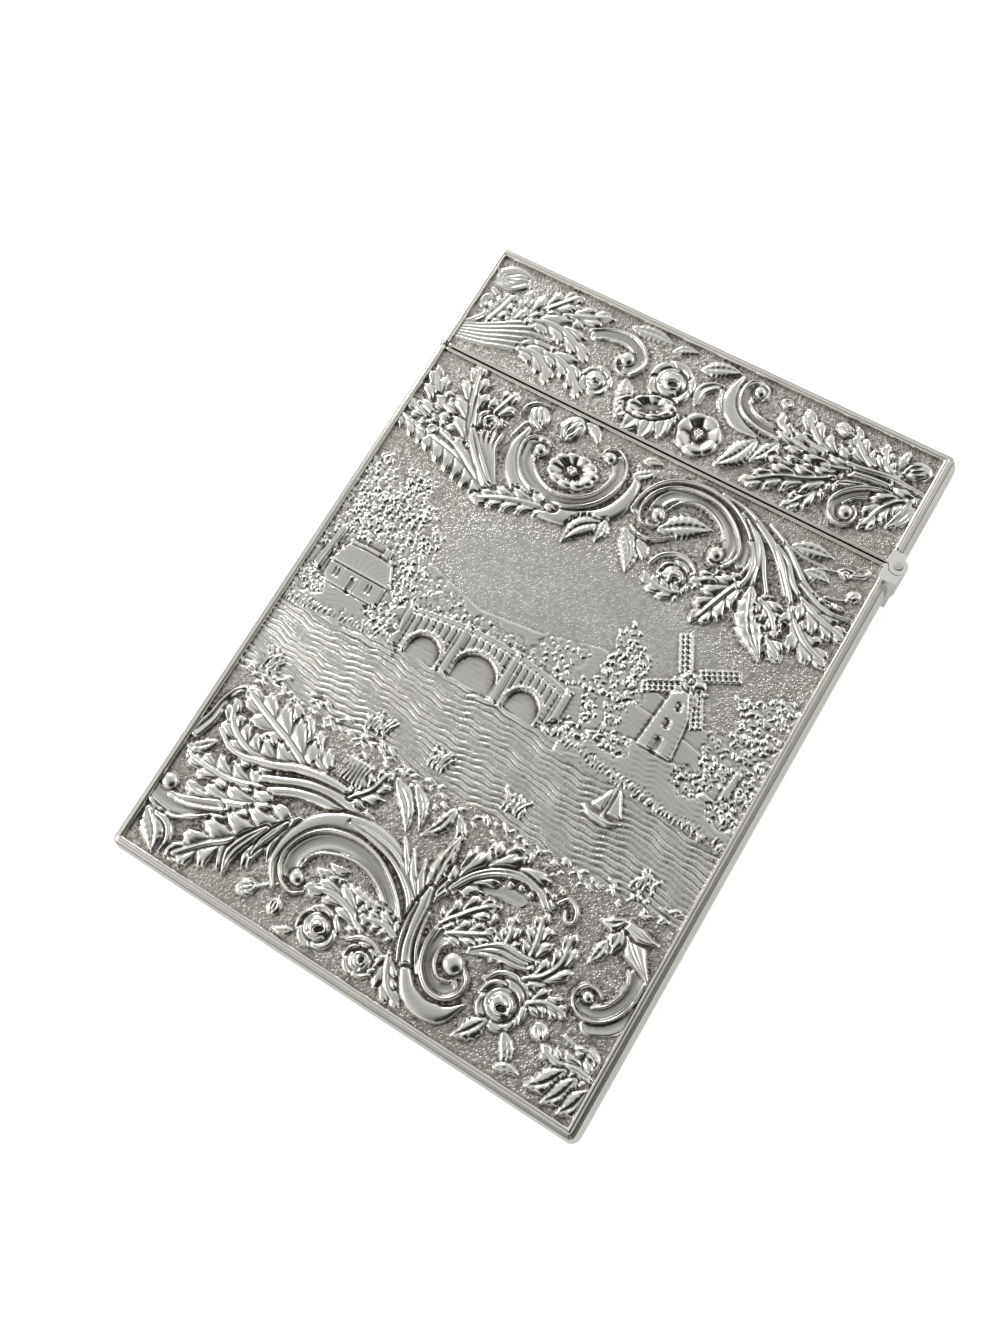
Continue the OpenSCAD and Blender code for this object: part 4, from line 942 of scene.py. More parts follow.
def fit_to_frame(sheet, rim_rise=0.45, most=1.1, margin=0.9):
    """The relief falls towards the frame, so that no form is cut off above the bead"""
    deepest = -0.12
    edge = np.minimum(*np.broadcast_arrays(
        np.minimum(sheet.x - sheet.x[0], sheet.x[-1] - sheet.x)[None, :],
        np.minimum(sheet.y - sheet.y[0], sheet.y[-1] - sheet.y)[:, None]))
    limit = rim_rise + (most - rim_rise) * ease(edge, 0, margin)
    for axis in (0, 1):
        wide = np.pad(sheet.rise, [(1, 1) if a == axis else (0, 0) for a in (0, 1)], mode="edge")
        count = sheet.rise.shape[axis]
        sheet.rise = (np.take(wide, range(count), axis) + 2 * sheet.rise
                      + np.take(wide, range(2, count + 2), axis)) / 4
    sheet.rise = np.clip(sheet.rise, deepest, limit)


def make_mesh(name, points, faces, smooth):
    """A mesh object from points in millimetres and arrays of faces, each array with one face size"""
    mesh = bpy.data.meshes.new(name)
    mesh.vertices.add(len(points))
    mesh.vertices.foreach_set("co", (points * MM).astype(np.float32).ravel())
    sizes = np.concatenate([np.full(len(group), group.shape[1], np.int32) for group in faces])
    mesh.loops.add(int(sizes.sum()))
    corners = np.concatenate([group.ravel() for group in faces])
    mesh.loops.foreach_set("vertex_index", corners.astype(np.int32))
    mesh.polygons.add(len(sizes))
    mesh.polygons.foreach_set("loop_start", np.concatenate([[0], np.cumsum(sizes)[:-1]]).astype(np.int32))
    mesh.polygons.foreach_set("use_smooth", np.repeat(smooth, [len(group) for group in faces]))
    mesh.update(calc_edges=True)
    mesh.validate()
    piece = bpy.data.objects.new(name, mesh)
    scene.collection.objects.link(piece)
    return piece


def quads_of(grid):
    """The faces between the rows and columns of a grid of points"""
    return np.stack([grid[:-1, :-1], grid[:-1, 1:], grid[1:, 1:], grid[1:, :-1]], axis=-1).reshape(-1, 4)


def ringed(grid):
    """The same, where each row is a closed ring"""
    return quads_of(np.concatenate([grid, grid[:, :1]], axis=1))


def panel_piece(name, sheet, ground_z, inner_z, follow=0.0):
    """A closed panel with the sheet's relief on its outer side. Its inner side is flat, or follows
    the relief by this share, as the back of stamped sheet does."""
    outward = 1 if ground_z > inner_z else -1
    rows, columns = sheet.rise.shape
    x, y = np.meshgrid(sheet.x, sheet.y)
    top = np.column_stack([x.ravel(), y.ravel(), (ground_z + outward * sheet.rise).ravel()])
    grid = np.arange(rows * columns).reshape(rows, columns)
    rim = np.concatenate([grid[0, :-1], grid[:-1, -1], grid[-1, :0:-1], grid[:0:-1, 0]])
    quads = quads_of(grid)
    if follow:
        edge = np.minimum(np.minimum(x - x.min(), x.max() - x), np.minimum(y - y.min(), y.max() - y))
        hollowed = follow * ease(edge, 0.2, 1.0) * soften(np.maximum(sheet.rise, 0), 2)
        foot = np.column_stack([x.ravel(), y.ravel(), (inner_z + outward * hollowed).ravel()])
        below = rim + len(top)
        inner = quads[:, ::-1] + len(top)
    else:
        foot = top[rim].copy()
        foot[:, 2] = inner_z
        below = np.arange(len(rim)) + len(top)
        inner = below[None, ::-1]
    skirt = np.column_stack([np.roll(rim, -1), rim, below, np.roll(below, -1)])
    faces = [quads, skirt, inner]
    if outward < 0:
        faces = [group[:, ::-1] for group in faces]
    piece = make_mesh(name, np.concatenate([top, foot]), faces, (True, False, bool(follow)))
    lay_flat(piece, sheet)
    finish_panel(piece, sheet)
    return piece


def lay_flat(piece, sheet):
    """A texture layout: the outer side flat on one half, the rest on the other"""
    mesh = piece.data
    count = len(mesh.loops)
    corner = np.zeros(count, np.int32)
    mesh.loops.foreach_get("vertex_index", corner)
    spots = np.zeros(len(mesh.vertices) * 3, np.float32)
    mesh.vertices.foreach_get("co", spots)
    spots = spots.reshape(-1, 3)[corner] / MM
    wide, high = sheet.x[-1] - sheet.x[0], sheet.y[-1] - sheet.y[0]
    u = spots[:, 0] - sheet.x[0]
    v = spots[:, 1] - sheet.y[0]
    outer = np.zeros(count, bool)
    outer[: 4 * (len(sheet.x) - 1) * (len(sheet.y) - 1)] = True
    # A tall panel's inner side is plain, and lies small beside the outer one. A low one's lies over it.
    gap, small, border = 1, 0.1, 0.004
    if wide < high:
        u = np.where(outer, u, wide + gap + small * u)
        v = np.where(outer, v, small * v)
        size = 1.01 * max(high, (1 + small) * wide + gap)
    else:
        v = np.where(outer, v, high + gap + v)
        size = 1.01 * max(wide, 2 * high + gap)
    layout = mesh.uv_layers.new(name="OFBake")
    layout.data.foreach_set("uv", (np.column_stack([u, v]) / size + border).astype(np.float32).ravel())


def mark(piece, name, sheet, values):
    """Keeps a field of the sheet as a value at each point of the piece, 0 on its inner side"""
    points = np.zeros(len(piece.data.vertices), np.float32)
    points[: sheet.rise.size] = values.ravel()
    piece.data.attributes.new(name, "FLOAT", "POINT").data.foreach_set("value", points)


def finish_panel(piece, sheet):
    """The marks that the silver's finish goes by: recesses, crests and matted ground"""
    # A spot is a recess where it lies under the mean height round it, broadly or closely taken, and a
    # crest where it stands over that. Recesses are darkened with tarnish and with painted shade.
    broad = (soften(sheet.rise, 6) - sheet.rise - 0.02) / 0.45
    close = (soften(sheet.rise, 2) - sheet.rise - 0.01) / 0.22
    crest = (sheet.rise - soften(sheet.rise, 4)) / 0.2
    mark(piece, "recess", sheet, np.clip(broad + close, 0, 1))
    mark(piece, "crest", sheet, np.clip(crest, 0, 1))
    mark(piece, "matted", sheet, 1 - sheet.plain)


# The sheet's thickness, the height of the front's ground over the table, and the steps of the grids
sheet_t = 0.45
body_low, body_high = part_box("body_front_panel")
front_ground_z = body_low.z / MM + sheet_t
front_step, back_step = 0.125, 0.2
front = Sheet(body_low, body_high, front_step)
landscape(front)
lower_border(front)
upper_border(front)
matt_ground(front, 0.012, 3)
fit_to_frame(front)
body_front = panel_piece("body_front_relief", front, front_ground_z, body_low.z / MM)
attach(body_front, "body")
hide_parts("body_front_panel")


def effect(name, takes, gives):
    """An empty group of shader nodes, with the nodes that hold its inputs and outputs"""
    group = bpy.data.node_groups.new(name, "ShaderNodeTree")
    for label, kind in takes:
        group.interface.new_socket(label, in_out="INPUT", socket_type=kind)
    for label, kind in gives:
        group.interface.new_socket(label, in_out="OUTPUT", socket_type=kind)
    return group, group.nodes.new("NodeGroupInput"), group.nodes.new("NodeGroupOutput")


def metal(name):
    """A material for silver, its node tree, its shader, and the place on the piece"""
    stuff = bpy.data.materials.new(name)
    stuff.use_nodes = True
    tree = stuff.node_tree
    shader = tree.nodes["Principled BSDF"]
    shader.inputs["Metallic"].default_value = 1.0
    return stuff, tree, shader, place(tree, "ShaderNodeTexCoord").outputs["Object"]


def surface(tree, shader, colour, rough, height, depth):
    """Gives the shader its colour, its roughness and a fine relief this many millimetres deep"""
    bump = feed(tree, place(tree, "ShaderNodeBump"), Strength=1.0, Distance=depth * MM, Height=height)
    feed(tree, shader, Base_Color=colour, Roughness=rough, Normal=bump.outputs["Normal"])


def use(tree, group, **sources):
    """One use of a group in a material"""
    node = place(tree, "ShaderNodeGroup", node_tree=group)
    return feed(tree, node, **sources).outputs


def noise(tree, where, scale, detail=3.0, roughness=0.5, stretch=None):
    """Value noise from 0 to 1 with this many waves to the millimetre"""
    if stretch:
        mapping = place(tree, "ShaderNodeMapping")
        where = feed(tree, mapping, Vector=where, Scale=stretch).outputs[0]
    node = place(tree, "ShaderNodeTexNoise")
    return feed(tree, node, Vector=where, Scale=scale / MM, Detail=detail, Roughness=roughness).outputs[0]


def ranged(tree, value, low, high, out_low=0.0, out_high=1.0):
    """A value taken smoothly from one range to another"""
    node = place(tree, "ShaderNodeMapRange", interpolation_type="SMOOTHSTEP")
    feed(tree, node, Value=value, From_Min=low, From_Max=high, To_Min=out_low, To_Max=out_high)
    return node.outputs[0]


# Fine rubbing marks of a cloth and old scratches, and the cloudy dullness of handling
handling, taken, given = effect(
    "handling marks", [("Place", "NodeSocketVector")],
    [("Marks", "NodeSocketFloat"), ("Dullness", "NodeSocketFloat")])
where = taken.outputs["Place"]
brushed = noise(handling, where, 0.5, 4.0, 0.6, (1.0, 14.0, 3.0))
crossed = noise(handling, where, 0.7, 4.0, 0.6, (11.0, 1.0, 3.0))
scratches = ranged(handling, noise(handling, where, 0.11, 2.0, 0.5, (1.0, 22.0, 1.0)), 0.66, 0.7)
marks = reckon(handling, "MULTIPLY_ADD", scratches, -0.5, reckon(handling, "ADD", brushed, crossed))
handling.links.new(marks, given.inputs["Marks"])
clouded = ranged(handling, noise(handling, where, 0.16, 5.0, 0.6), 0.35, 0.7)
handling.links.new(clouded, given.inputs["Dullness"])

# Tarnish and painted shade: dark brown by the Recess input, which brings tarnish and, on most pieces, painted
# shade; and a warm film that comes and goes over the matted ground
tarnish_and_shade, taken, given = effect(
    "tarnish_and_shade", [("Place", "NodeSocketVector"), ("Silver", "NodeSocketColor"), ("Recess", "NodeSocketFloat"),
                ("Film", "NodeSocketFloat")],
    [("Color", "NodeSocketColor")])
cloud = ranged(tarnish_and_shade, noise(tarnish_and_shade, taken.outputs["Place"], 0.12, 4.0, 0.55), 0.35, 0.7)
specks = noise(tarnish_and_shade, taken.outputs["Place"], 2.4, 3.0, 0.6)
film = reckon(tarnish_and_shade, "MULTIPLY", taken.outputs["Film"], reckon(tarnish_and_shade, "MULTIPLY_ADD", cloud, 0.6, 0.25))
filmed = tinted(tarnish_and_shade, film, taken.outputs["Silver"], (0.54, 0.51, 0.46, 1))
blotches = ranged(tarnish_and_shade, specks, 0.2, 0.55, 0.7, 1.0)
deep = reckon(tarnish_and_shade, "MULTIPLY", taken.outputs["Recess"], blotches, clamp=True)
tarnish_and_shade.links.new(tinted(tarnish_and_shade, deep, filmed, (0.085, 0.07, 0.058, 1)), given.inputs["Color"])

# Small round dimples of the matting punch, side by side, each of its own brightness
punched, taken, given = effect("matting punch", [("Place", "NodeSocketVector")],
                               [("Height", "NodeSocketFloat"), ("Grain", "NodeSocketFloat")])
cells = place(punched, "ShaderNodeTexVoronoi", feature="F1")
feed(punched, cells, Vector=taken.outputs["Place"], Scale=3.0 / MM)
punched.links.new(ranged(punched, cells.outputs["Distance"], 0.05, 0.5), given.inputs["Height"])
punched.links.new(ranged(punched, cells.outputs["Color"], 0.25, 0.75), given.inputs["Grain"])

stamped, tree, shader, where = metal("stamped_silver")
recess, crest, matted = [place(tree, "ShaderNodeAttribute", attribute_name=name).outputs["Fac"]
                         for name in ("recess", "crest", "matted")]
wear = use(tree, handling, Place=where)
dimples, grain = use(tree, punched, Place=where)[:2]
ground = tinted(tree, grain, (0.41, 0.395, 0.35, 1), (0.98, 0.965, 0.9, 1))
silver = tinted(tree, matted, (0.87, 0.86, 0.8, 1), ground)
silver = tinted(tree, crest, silver, (0.98, 0.97, 0.92, 1))
# Recesses darken with tarnish and with painted shade, less so on the light grains of the matting
spared_on_grain = reckon(tree, "MULTIPLY_ADD", reckon(tree, "MULTIPLY", grain, matted), -0.75, 1.0)
tarnish_and_painted_shade = reckon(tree, "MULTIPLY", recess, spared_on_grain)
colour = use(tree, tarnish_and_shade, Place=where, Silver=silver, Recess=tarnish_and_painted_shade, Film=matted)["Color"]
half_matt = reckon(tree, "MULTIPLY", matted, reckon(tree, "SUBTRACT", 1.45, matted))
rough = reckon(tree, "MULTIPLY_ADD", half_matt, 0.35, 0.15)
rough = reckon(tree, "MULTIPLY_ADD", wear["Dullness"], 0.07, rough)
rough = reckon(tree, "MULTIPLY_ADD", recess, 0.1, rough)
height = reckon(tree, "MULTIPLY", dimples, matted)
height = reckon(tree, "MULTIPLY_ADD", wear["Marks"], 0.04, height)
surface(tree, shader, colour, rough, height, 0.08)
body_front.data.materials.append(stamped)


# Lid, front panel.
# The same sheet silver, stamped and chased with scrolls and flowers of its own, and soldered to the
# lid's rim. Its inner side follows the relief, which shows in the open lid.


def lid_border(sheet):
    """Two scrolls, roses and acanthus across the lid"""
    # Shell and leaves in the left corner
    sheet.disc(-30.6, 45.6, 2.9, 2.1, 12, 0.7, leafy)
    for k in range(4):
        sheet.chase([(-33.3 + 0.6 * k, 45.8 - 0.2 * k), (-31.4 + 0.5 * k, 44.4 + 0.5 * k),
                     (-28.2, 46.2 + 0.1 * k)], (0.3, 0.6, 0.2), (0.6, 0.85, 0.6), leafy, 0.12, 0.4)
    sheet.chase([(-28.4, 46.2), (-27, 44.6), (-25.6, 43.8), (-24.4, 44)], (0.2, 0.4, 0.2), (0.6,))
    sheet.chase([(-32.4, 42.8), (-31, 42), (-30.8, 40.2), (-31.7, 38.2), (-33.4, 36.4)], (0.35, 0.55, 0.45),
                (0.7, 0.8, 0.6), creased)
    sheet.disc(-32.4, 40.8, 1.0, 1.3, 0, 0.6, cupped)
    acanthus(sheet, [(-30.6, 38.2), (-29.8, 40.4), (-29.2, 43)], 3, 2.1, 0.75)
    acanthus(sheet, [(-27.6, 38.8), (-26.8, 41.4), (-27.2, 44.8)], 3, 1.5, 0.7)
    for k in range(6):
        drop = 0.9 * k
        sheet.chase([(-33.3, 36.2 - 0.5 * drop), (-29.6, 38 - 0.75 * drop), (-26.4, 39.9 - 0.95 * drop),
                     (-23, 41.4 - 1.1 * drop), (-19.6 + 0.3 * drop, 41.6 - 1.1 * drop)],
                    (0.25, 0.36, 0.42, 0.2), (0.35, 0.5, 0.6, 0.5), domed, 0.16, 0.45)
    # Acanthus that crosses the left half
    acanthus(sheet, [(-23.6, 42.4), (-20.8, 44), (-18.2, 45), (-15.2, 46.4)], 3, 1.9, 0.7)
    acanthus(sheet, [(-25.6, 40.6), (-24.4, 42.8), (-22.6, 45), (-20.8, 47.2)], 3, 2.3, 0.85)
    acanthus(sheet, [(-25, 41), (-22, 41.8), (-18.8, 41.2), (-15.4, 39.4)], 3, 2.0, 0.85)
    acanthus(sheet, [(-24.4, 36.4), (-22, 36.8), (-20, 35.8), (-18.4, 33.9)], 2, 1.9, 0.75)
    acanthus(sheet, [(-20.6, 37.6), (-18.2, 37.5), (-15.8, 36.4), (-13.6, 34)], 3, 1.8, 0.8)
    # Left scroll, and the small rose under it
    scroll(sheet,
           [(-16.8, 43.5), (-14.4, 44.8), (-11.8, 45.4), (-9.4, 44.8), (-7.9, 43.2), (-7.6, 41.4),
            (-8.6, 39.9), (-10.2, 39.6), (-11.3, 40.6), (-11.2, 42)],
           [(-15.8, 42.6), (-13.6, 43.5), (-11.4, 43.8), (-9.6, 43.2)],
           ([(-15.6, 43.2), (-12.6, 44.4), (-9.8, 44), (-8.5, 42), (-9.2, 40.6)], 0.95),
           [(-10.1, 41.9, 0.95)], 0.95)
    rose(sheet, -12.3, 37.1, 2.4, 0.8, 15)
    blade(sheet, (-11.6, 46.6), (-5.2, 46.7), 1.0, 0.5, 0.06, 8)
    blade(sheet, (-8.7, 39.2), (-7.4, 33.5), 1.1, 0.55, 0.08, 8)
    blade(sheet, (-5, 46), (-1.6, 47.2), 0.7, 0.45, 0.1, 5)
    # Great rose, side flower, daisy and their leaves
    rose(sheet, -3, 41.6, 3.5, 0.9, 20)
    for root, tip, half in (((-5.6, 37), (-7.2, 34.2), 1.2), ((-4.6, 36), (-5.4, 33), 1.3),
                            ((-3, 36.2), (-2.8, 32.9), 1.3), ((-1.6, 37.4), (-0.7, 34), 1.2),
                            ((-1.4, 38.4), (0.6, 36.4), 0.7), ((-6.2, 37.4), (-8.2, 35.8), 0.7)):
        lobe(sheet, root, tip, half, 0.75, 0.05)
    daisy(sheet, -3.7, 37.1, 3.7, 9, 1.0, 0.52, 22, False)
    blade(sheet, (0, 45.4), (4.8, 47.2), 1.15, 0.55, 0.06, 7)
    lobe(sheet, (1.4, 40.4), (3.2, 44.2), 0.9, 0.7, 0.25)
    blade(sheet, (3.6, 43.6), (8.2, 40.4), 1.15, 0.55, -0.06, 7)
    daisy(sheet, 3.9, 36.6, 3.4, 7, 0.82, 1.0, 20)
    blade(sheet, (10.9, 39.2), (7.8, 33.6), 1.45, 0.6, 0.06, 9)
    blade(sheet, (13.7, 40.3), (11.6, 36.4), 1.15, 0.6, 0.06, 6)
    # Right scroll
    sheet.chase([(5.2, 47), (4.9, 44.6), (5.8, 42), (8, 40.4), (11, 39.9)], (0.2, 1.1, 1.1, 0.2), (0.5,))
    scroll(sheet,
           [(8.2, 44.7), (9.3, 45.3), (9.1, 46.6), (7.8, 47.1), (6.5, 46.5), (6, 44.9), (6.6, 43),
            (8.2, 41.7), (10.6, 41), (13.6, 40.9)],
           [(7.6, 43.9), (9, 42.9), (11, 42.3), (13.4, 42.1)],
           ([(7, 45.6), (7.4, 43.6), (9, 42.1), (12.4, 41.5)], 0.85),
           [(8.2, 45.7, 0.85)], 0.95)
    # Acanthus of the right half, with its buds
    acanthus(sheet, [(28.6, 42.4), (25.8, 43.2), (23.6, 44.6), (22, 46.8)], 3, 2.1, 0.75)
    acanthus(sheet, [(30, 42.8), (27.6, 44), (26.4, 46.6)], 3, 1.6, 0.75)
    acanthus(sheet, [(23.4, 42.2), (20.4, 42.2), (17.8, 43.4), (15.4, 46)], 3, 2.3, 0.8)
    acanthus(sheet, [(19, 41.8), (16.4, 41.4), (13.6, 42.6), (12.4, 44.2)], 3, 1.5, 0.75)
    for sweep in ([(33.2, 42.6), (28.6, 42.8), (23.6, 42), (18.6, 42.2), (14.6, 43)],
                  [(33.2, 41.6), (28, 41.6), (23.6, 41), (19.6, 41), (15, 41.8)],
                  [(30, 41), (25.4, 40), (21.8, 38.6), (18.6, 37.2), (15, 36.9)]):
        sheet.chase(sweep, (0.35, 0.5, 0.3), (0.6, 0.82, 0.7), domed, 0.14, 0.35)
    acanthus(sheet, [(23.6, 41.2), (20.4, 40.2), (17.4, 38.6), (14.2, 38)], 3, 1.9, 0.8)
    acanthus(sheet, [(22.6, 39.6), (21, 37.4), (20.2, 35.2), (18.6, 32.9)], 3, 1.9, 0.8)
    acanthus(sheet, [(22.4, 39.4), (19.4, 37.6), (16, 36.2), (12.4, 33.6)], 4, 2.1, 0.85)
    sheet.disc(12.2, 46.1, 0.95, 0.8, 0, 0.65, cupped)
    bud(sheet, 20.6, 46.3, 1.3, 160, 0.8, 3, [(21.8, 45.2), (22.6, 43.8)])
    bud(sheet, 31.5, 45.3, 1.8, 30, 0.75, 3, [(29.4, 43.8)])
    blade(sheet, (29.2, 44.4), (29.5, 47.8), 0.5, 0.5, 0.05, 3)
    # Lower scroll at the right edge
    scroll(sheet,
           [(33.3, 41), (30, 40.9), (27, 40.2), (24.6, 38.6), (23.4, 36.6), (23.7, 34.9), (25.2, 33.9),
            (26.8, 34.4), (27.2, 36), (26.4, 37)],
           [(30.6, 39.7), (28, 39.2), (26, 38), (25, 36.8)],
           ([(30, 40.2), (27, 39.3), (25, 37.8), (24.4, 36.2), (25.2, 35)], 0.9),
           [(25.8, 35.8, 0.95)], 0.95)
    sheet.disc(28.4, 39.3, 0.75, 0.6, 20, 0.6, cupped)
    acanthus(sheet, [(32.8, 41.2), (30.8, 40), (29.4, 38), (28.6, 35.2)], 3, 2.2, 0.8)
    lobe(sheet, (32.4, 41), (31.4, 36.6), 0.75, 0.7, 0.1)
    lobe(sheet, (33.2, 40.4), (32.4, 37), 0.5, 0.65, 0.1)


# Share of the relief that the inner side of the lid's sheets shows
follow_share = 0.7
lid_low, lid_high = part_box("lid_front_panel")
lid_sheet = Sheet(lid_low, lid_high, front_step)
lid_border(lid_sheet)
# The left half is worn lower than the right
lid_sheet.rise *= 0.62 + 0.38 * ease(lid_sheet.x, -24, 4)
matt_ground(lid_sheet, 0.012, 4)
fit_to_frame(lid_sheet)
lid_front = panel_piece("lid_front_relief", lid_sheet, front_ground_z, lid_low.z / MM, follow_share)
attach(lid_front, "lid")
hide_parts("lid_front_panel")
lid_front.data.materials.append(stamped)


# Back panels, body and lid.
# The same sheet silver as the front, stamped in lower relief: scrollwork and leaves that hold a plain
# oblong cartouche, left empty. They lie face down on the table.


def back_border(sheet):
    """Scrolls, leaves and flowers on the left half of the body's back, and the same turned over"""
    # The lower quarter is the upper one turned over about this height
    mid = -8.0
    for sy in (1, -1):
        def at(x, y):
            return (x, mid + sy * (y - mid))
        acanthus(sheet, [at(-15.5, -7), at(-21, -3), at(-24, 4), at(-29.5, 9)], 7, 3.6, 0.5)
        acanthus(sheet, [at(-16, 12), at(-22, 16), at(-28, 17.5)], 5, 3.0, 0.5)
        acanthus(sheet, [at(-3, 14.5), at(-9, 18), at(-16.5, 20.5), at(-22.5, 25)], 7, 3.2, 0.5)
        scroll(sheet,
               [at(-14.6, -6), at(-18.2, -2), at(-19, 3.5), at(-16.5, 8.5), at(-20, 11.6), at(-24.6, 10.6),
                at(-26, 7), at(-23.6, 5)],
               [at(-16.4, -4), at(-17.4, 0), at(-17, 4)],
               ([at(-15.8, -5), at(-18, 0), at(-17.6, 5.5), at(-19, 9.6), at(-23.4, 9.4)], 0.9),
               [(*at(-23.4, 7.6), 1.1)], 0.6, 0.42)
        scroll(sheet,
               [at(-1.5, 12.6), at(-6.6, 15.8), at(-12.6, 15.4), at(-15.6, 11.6), at(-13.8, 8.6)],
               [at(-3, 12), at(-7, 13.8), at(-11.4, 13.4)],
               ([at(-2.4, 12.6), at(-7, 14.8), at(-12, 14.2), at(-14.2, 11.2)], 0.8),
               [(*at(-12.9, 10.9), 1.1)], 0.6, 0.4)
        rose(sheet, *at(-28.6, 24.6), 3.4, 0.6, 20 * sy)
        daisy(sheet, *at(-9.4, 24.8), 3.0, 8, 0.55)
        for root, tip in (((-26.4, 22), (-22.6, 17.6)), ((-30.6, 21.6), (-31, 16.4)),
                          ((-13, 26), (-18.2, 27.6)), ((-6.2, 26), (-1.4, 28.4)),
                          ((-25.6, 27), (-20.6, 29))):
            blade(sheet, at(*root), at(*tip), 1.1, 0.5, 0.06 * sy, 7)
        bud(sheet, *at(-31, 11.4), 1.3, 90 + 60 * sy, 0.5, 3, [at(-29.4, 9.4)])
    sheet.mirror()


def cartouche(sheet, wide, high):
    """A plain raised oblong with round ends, inside a beaded rim"""
    level, slope = 0.55, 0.4
    rim_inset, rim_half, rim_rise, beads = 1.1, 0.45, 0.14, 60
    x, y = sheet.x[None, :], sheet.y[:, None]
    straight = (high - wide) / 2
    away = np.hypot(x, np.maximum(np.abs(y) - straight, 0)) - wide / 2
    whole = (slice(None), slice(None))
    sheet.lay(whole, level * ease(-away, 0, slope), away, slope, 1.0)
    rim = np.sqrt(np.clip(1 - ((away + rim_inset) / rim_half) ** 2, 0, 1))
    turns = beads * np.arctan2(y, x)
    sheet.rise += rim_rise * rim * (1 + 0.35 * np.cos(turns)) * (away < 0)


back_low, back_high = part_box("body_back_panel")
back_ground_z = back_high.z / MM - sheet_t
back = Sheet(back_low, back_high, back_step)
back_border(back)
cartouche(back, 26.0, 34.0)
matt_ground(back, 0.016, 5)
fit_to_frame(back, 0.4)
# Nothing on the back stands out as far as the beads that it lies on
back_most = back_ground_z - 0.01
back.rise = np.minimum(back.rise, back_most)
body_back = panel_piece("body_back_relief", back, back_ground_z, back_high.z / MM)
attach(body_back, "body")
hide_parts("body_back_panel")
body_back.data.materials.append(stamped)


def lid_back_border(sheet):
    """A wave of leaves from each side to a flower in the middle"""
    for base in (35.4, 42.6):
        up = 1 if base > 40 else -1
        acanthus(sheet, [(-2.6, base), (-9, base + up), (-15.5, base), (-21, base - 2 * up), (-26, base)],
                 9, 2.6, 0.5)
    scroll(sheet, [(-5, 39.4), (-11, 41), (-18, 40.2), (-24, 38.4), (-29.4, 39.4), (-30.6, 42.6),
                   (-28, 44.4)],
           [(-11, 39.6), (-18, 38.8), (-24, 37.2)],
           ([(-8, 39.8), (-14, 40.2), (-22, 38.2), (-28, 38.4)], 0.7), [(-28.6, 42, 1.1)], 0.6, 0.4)
    blade(sheet, (-25, 41), (-31, 35), 1.3, 0.5, 0.1, 8)
    sheet.mirror()
    rose(sheet, 0, 40.2, 4.2, 0.62, 10)


lid_back_low, lid_back_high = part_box("lid_back_panel")
lid_back_sheet = Sheet(lid_back_low, lid_back_high, back_step)
lid_back_border(lid_back_sheet)
matt_ground(lid_back_sheet, 0.016, 6)
fit_to_frame(lid_back_sheet, 0.4)
lid_back_sheet.rise = np.minimum(lid_back_sheet.rise, back_most)
lid_back = panel_piece("lid_back_relief", lid_back_sheet, back_ground_z, lid_back_high.z / MM,
                       follow_share)
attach(lid_back, "lid")
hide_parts("lid_back_panel")
lid_back.data.materials.append(stamped)


# Edge mouldings, three round the body and three round the lid.
# Silver strip drawn through a shaped plate: a bead, a cove and a cut line on each face, and a round
# bulge between them, with a channel behind. It is mitred and soldered at the four corners.
side_x, end_y, case_t = 33.5, 48.0, 9.0
mid_z = case_t / 2
mould_w, mould_t = 2.0, 0.5
# Radius of the bulge, its edge on the front, and the height to which the channel behind it reaches
bulge_r, bulge_z, rim_z = 8.956, 7.86, 7.6
# Middle of the cut line, outward of the panel's edge
cut_line = 1.2

# Front half of the outer side, from the inner edge of the bead to the start of the bulge: the way out
# from the panel's edge, and the height over the table
bead_and_cove = [
    (0.0, 8.3), (0.0, 8.55), (0.03, 8.7), (0.1, 8.84), (0.2, 8.94), (0.31, 8.99), (0.4, 9.0), (0.5, 8.985),
    (0.6, 8.92), (0.68, 8.81), (0.73, 8.68), (0.75, 8.5), (0.79, 8.42), (0.86, 8.36), (0.96, 8.32),
    (1.06, 8.31), (1.13, 8.3), (1.16, 8.22), (1.18, 8.06), (1.21, 7.98), (1.25, 8.0), (1.29, 8.06),
    (1.335, 8.02),
]


def bulge(r, top_z, steps):
    """Points of an arc about the bulge's centre, down from this height to the same on the back"""
    z = mid_z + (top_z - mid_z) * np.cos(np.linspace(0, math.pi, steps))
    return np.column_stack([mould_w - bulge_r + np.sqrt(r * r - (z - mid_z) ** 2), z])


# The whole section, against the clock: channel, back, bulge and front
shell = np.array(bead_and_cove)
shell_back = shell * (1, -1) + (0, 2 * mid_z)
outer_bulge = bulge(bulge_r, bulge_z, 34)[::-1]
inner_bulge = bulge(bulge_r - mould_t, rim_z, 14)
section = np.concatenate([[(0, rim_z)], inner_bulge, [(0, 2 * mid_z - rim_z)], shell_back, outer_bulge,
                          shell[::-1]])


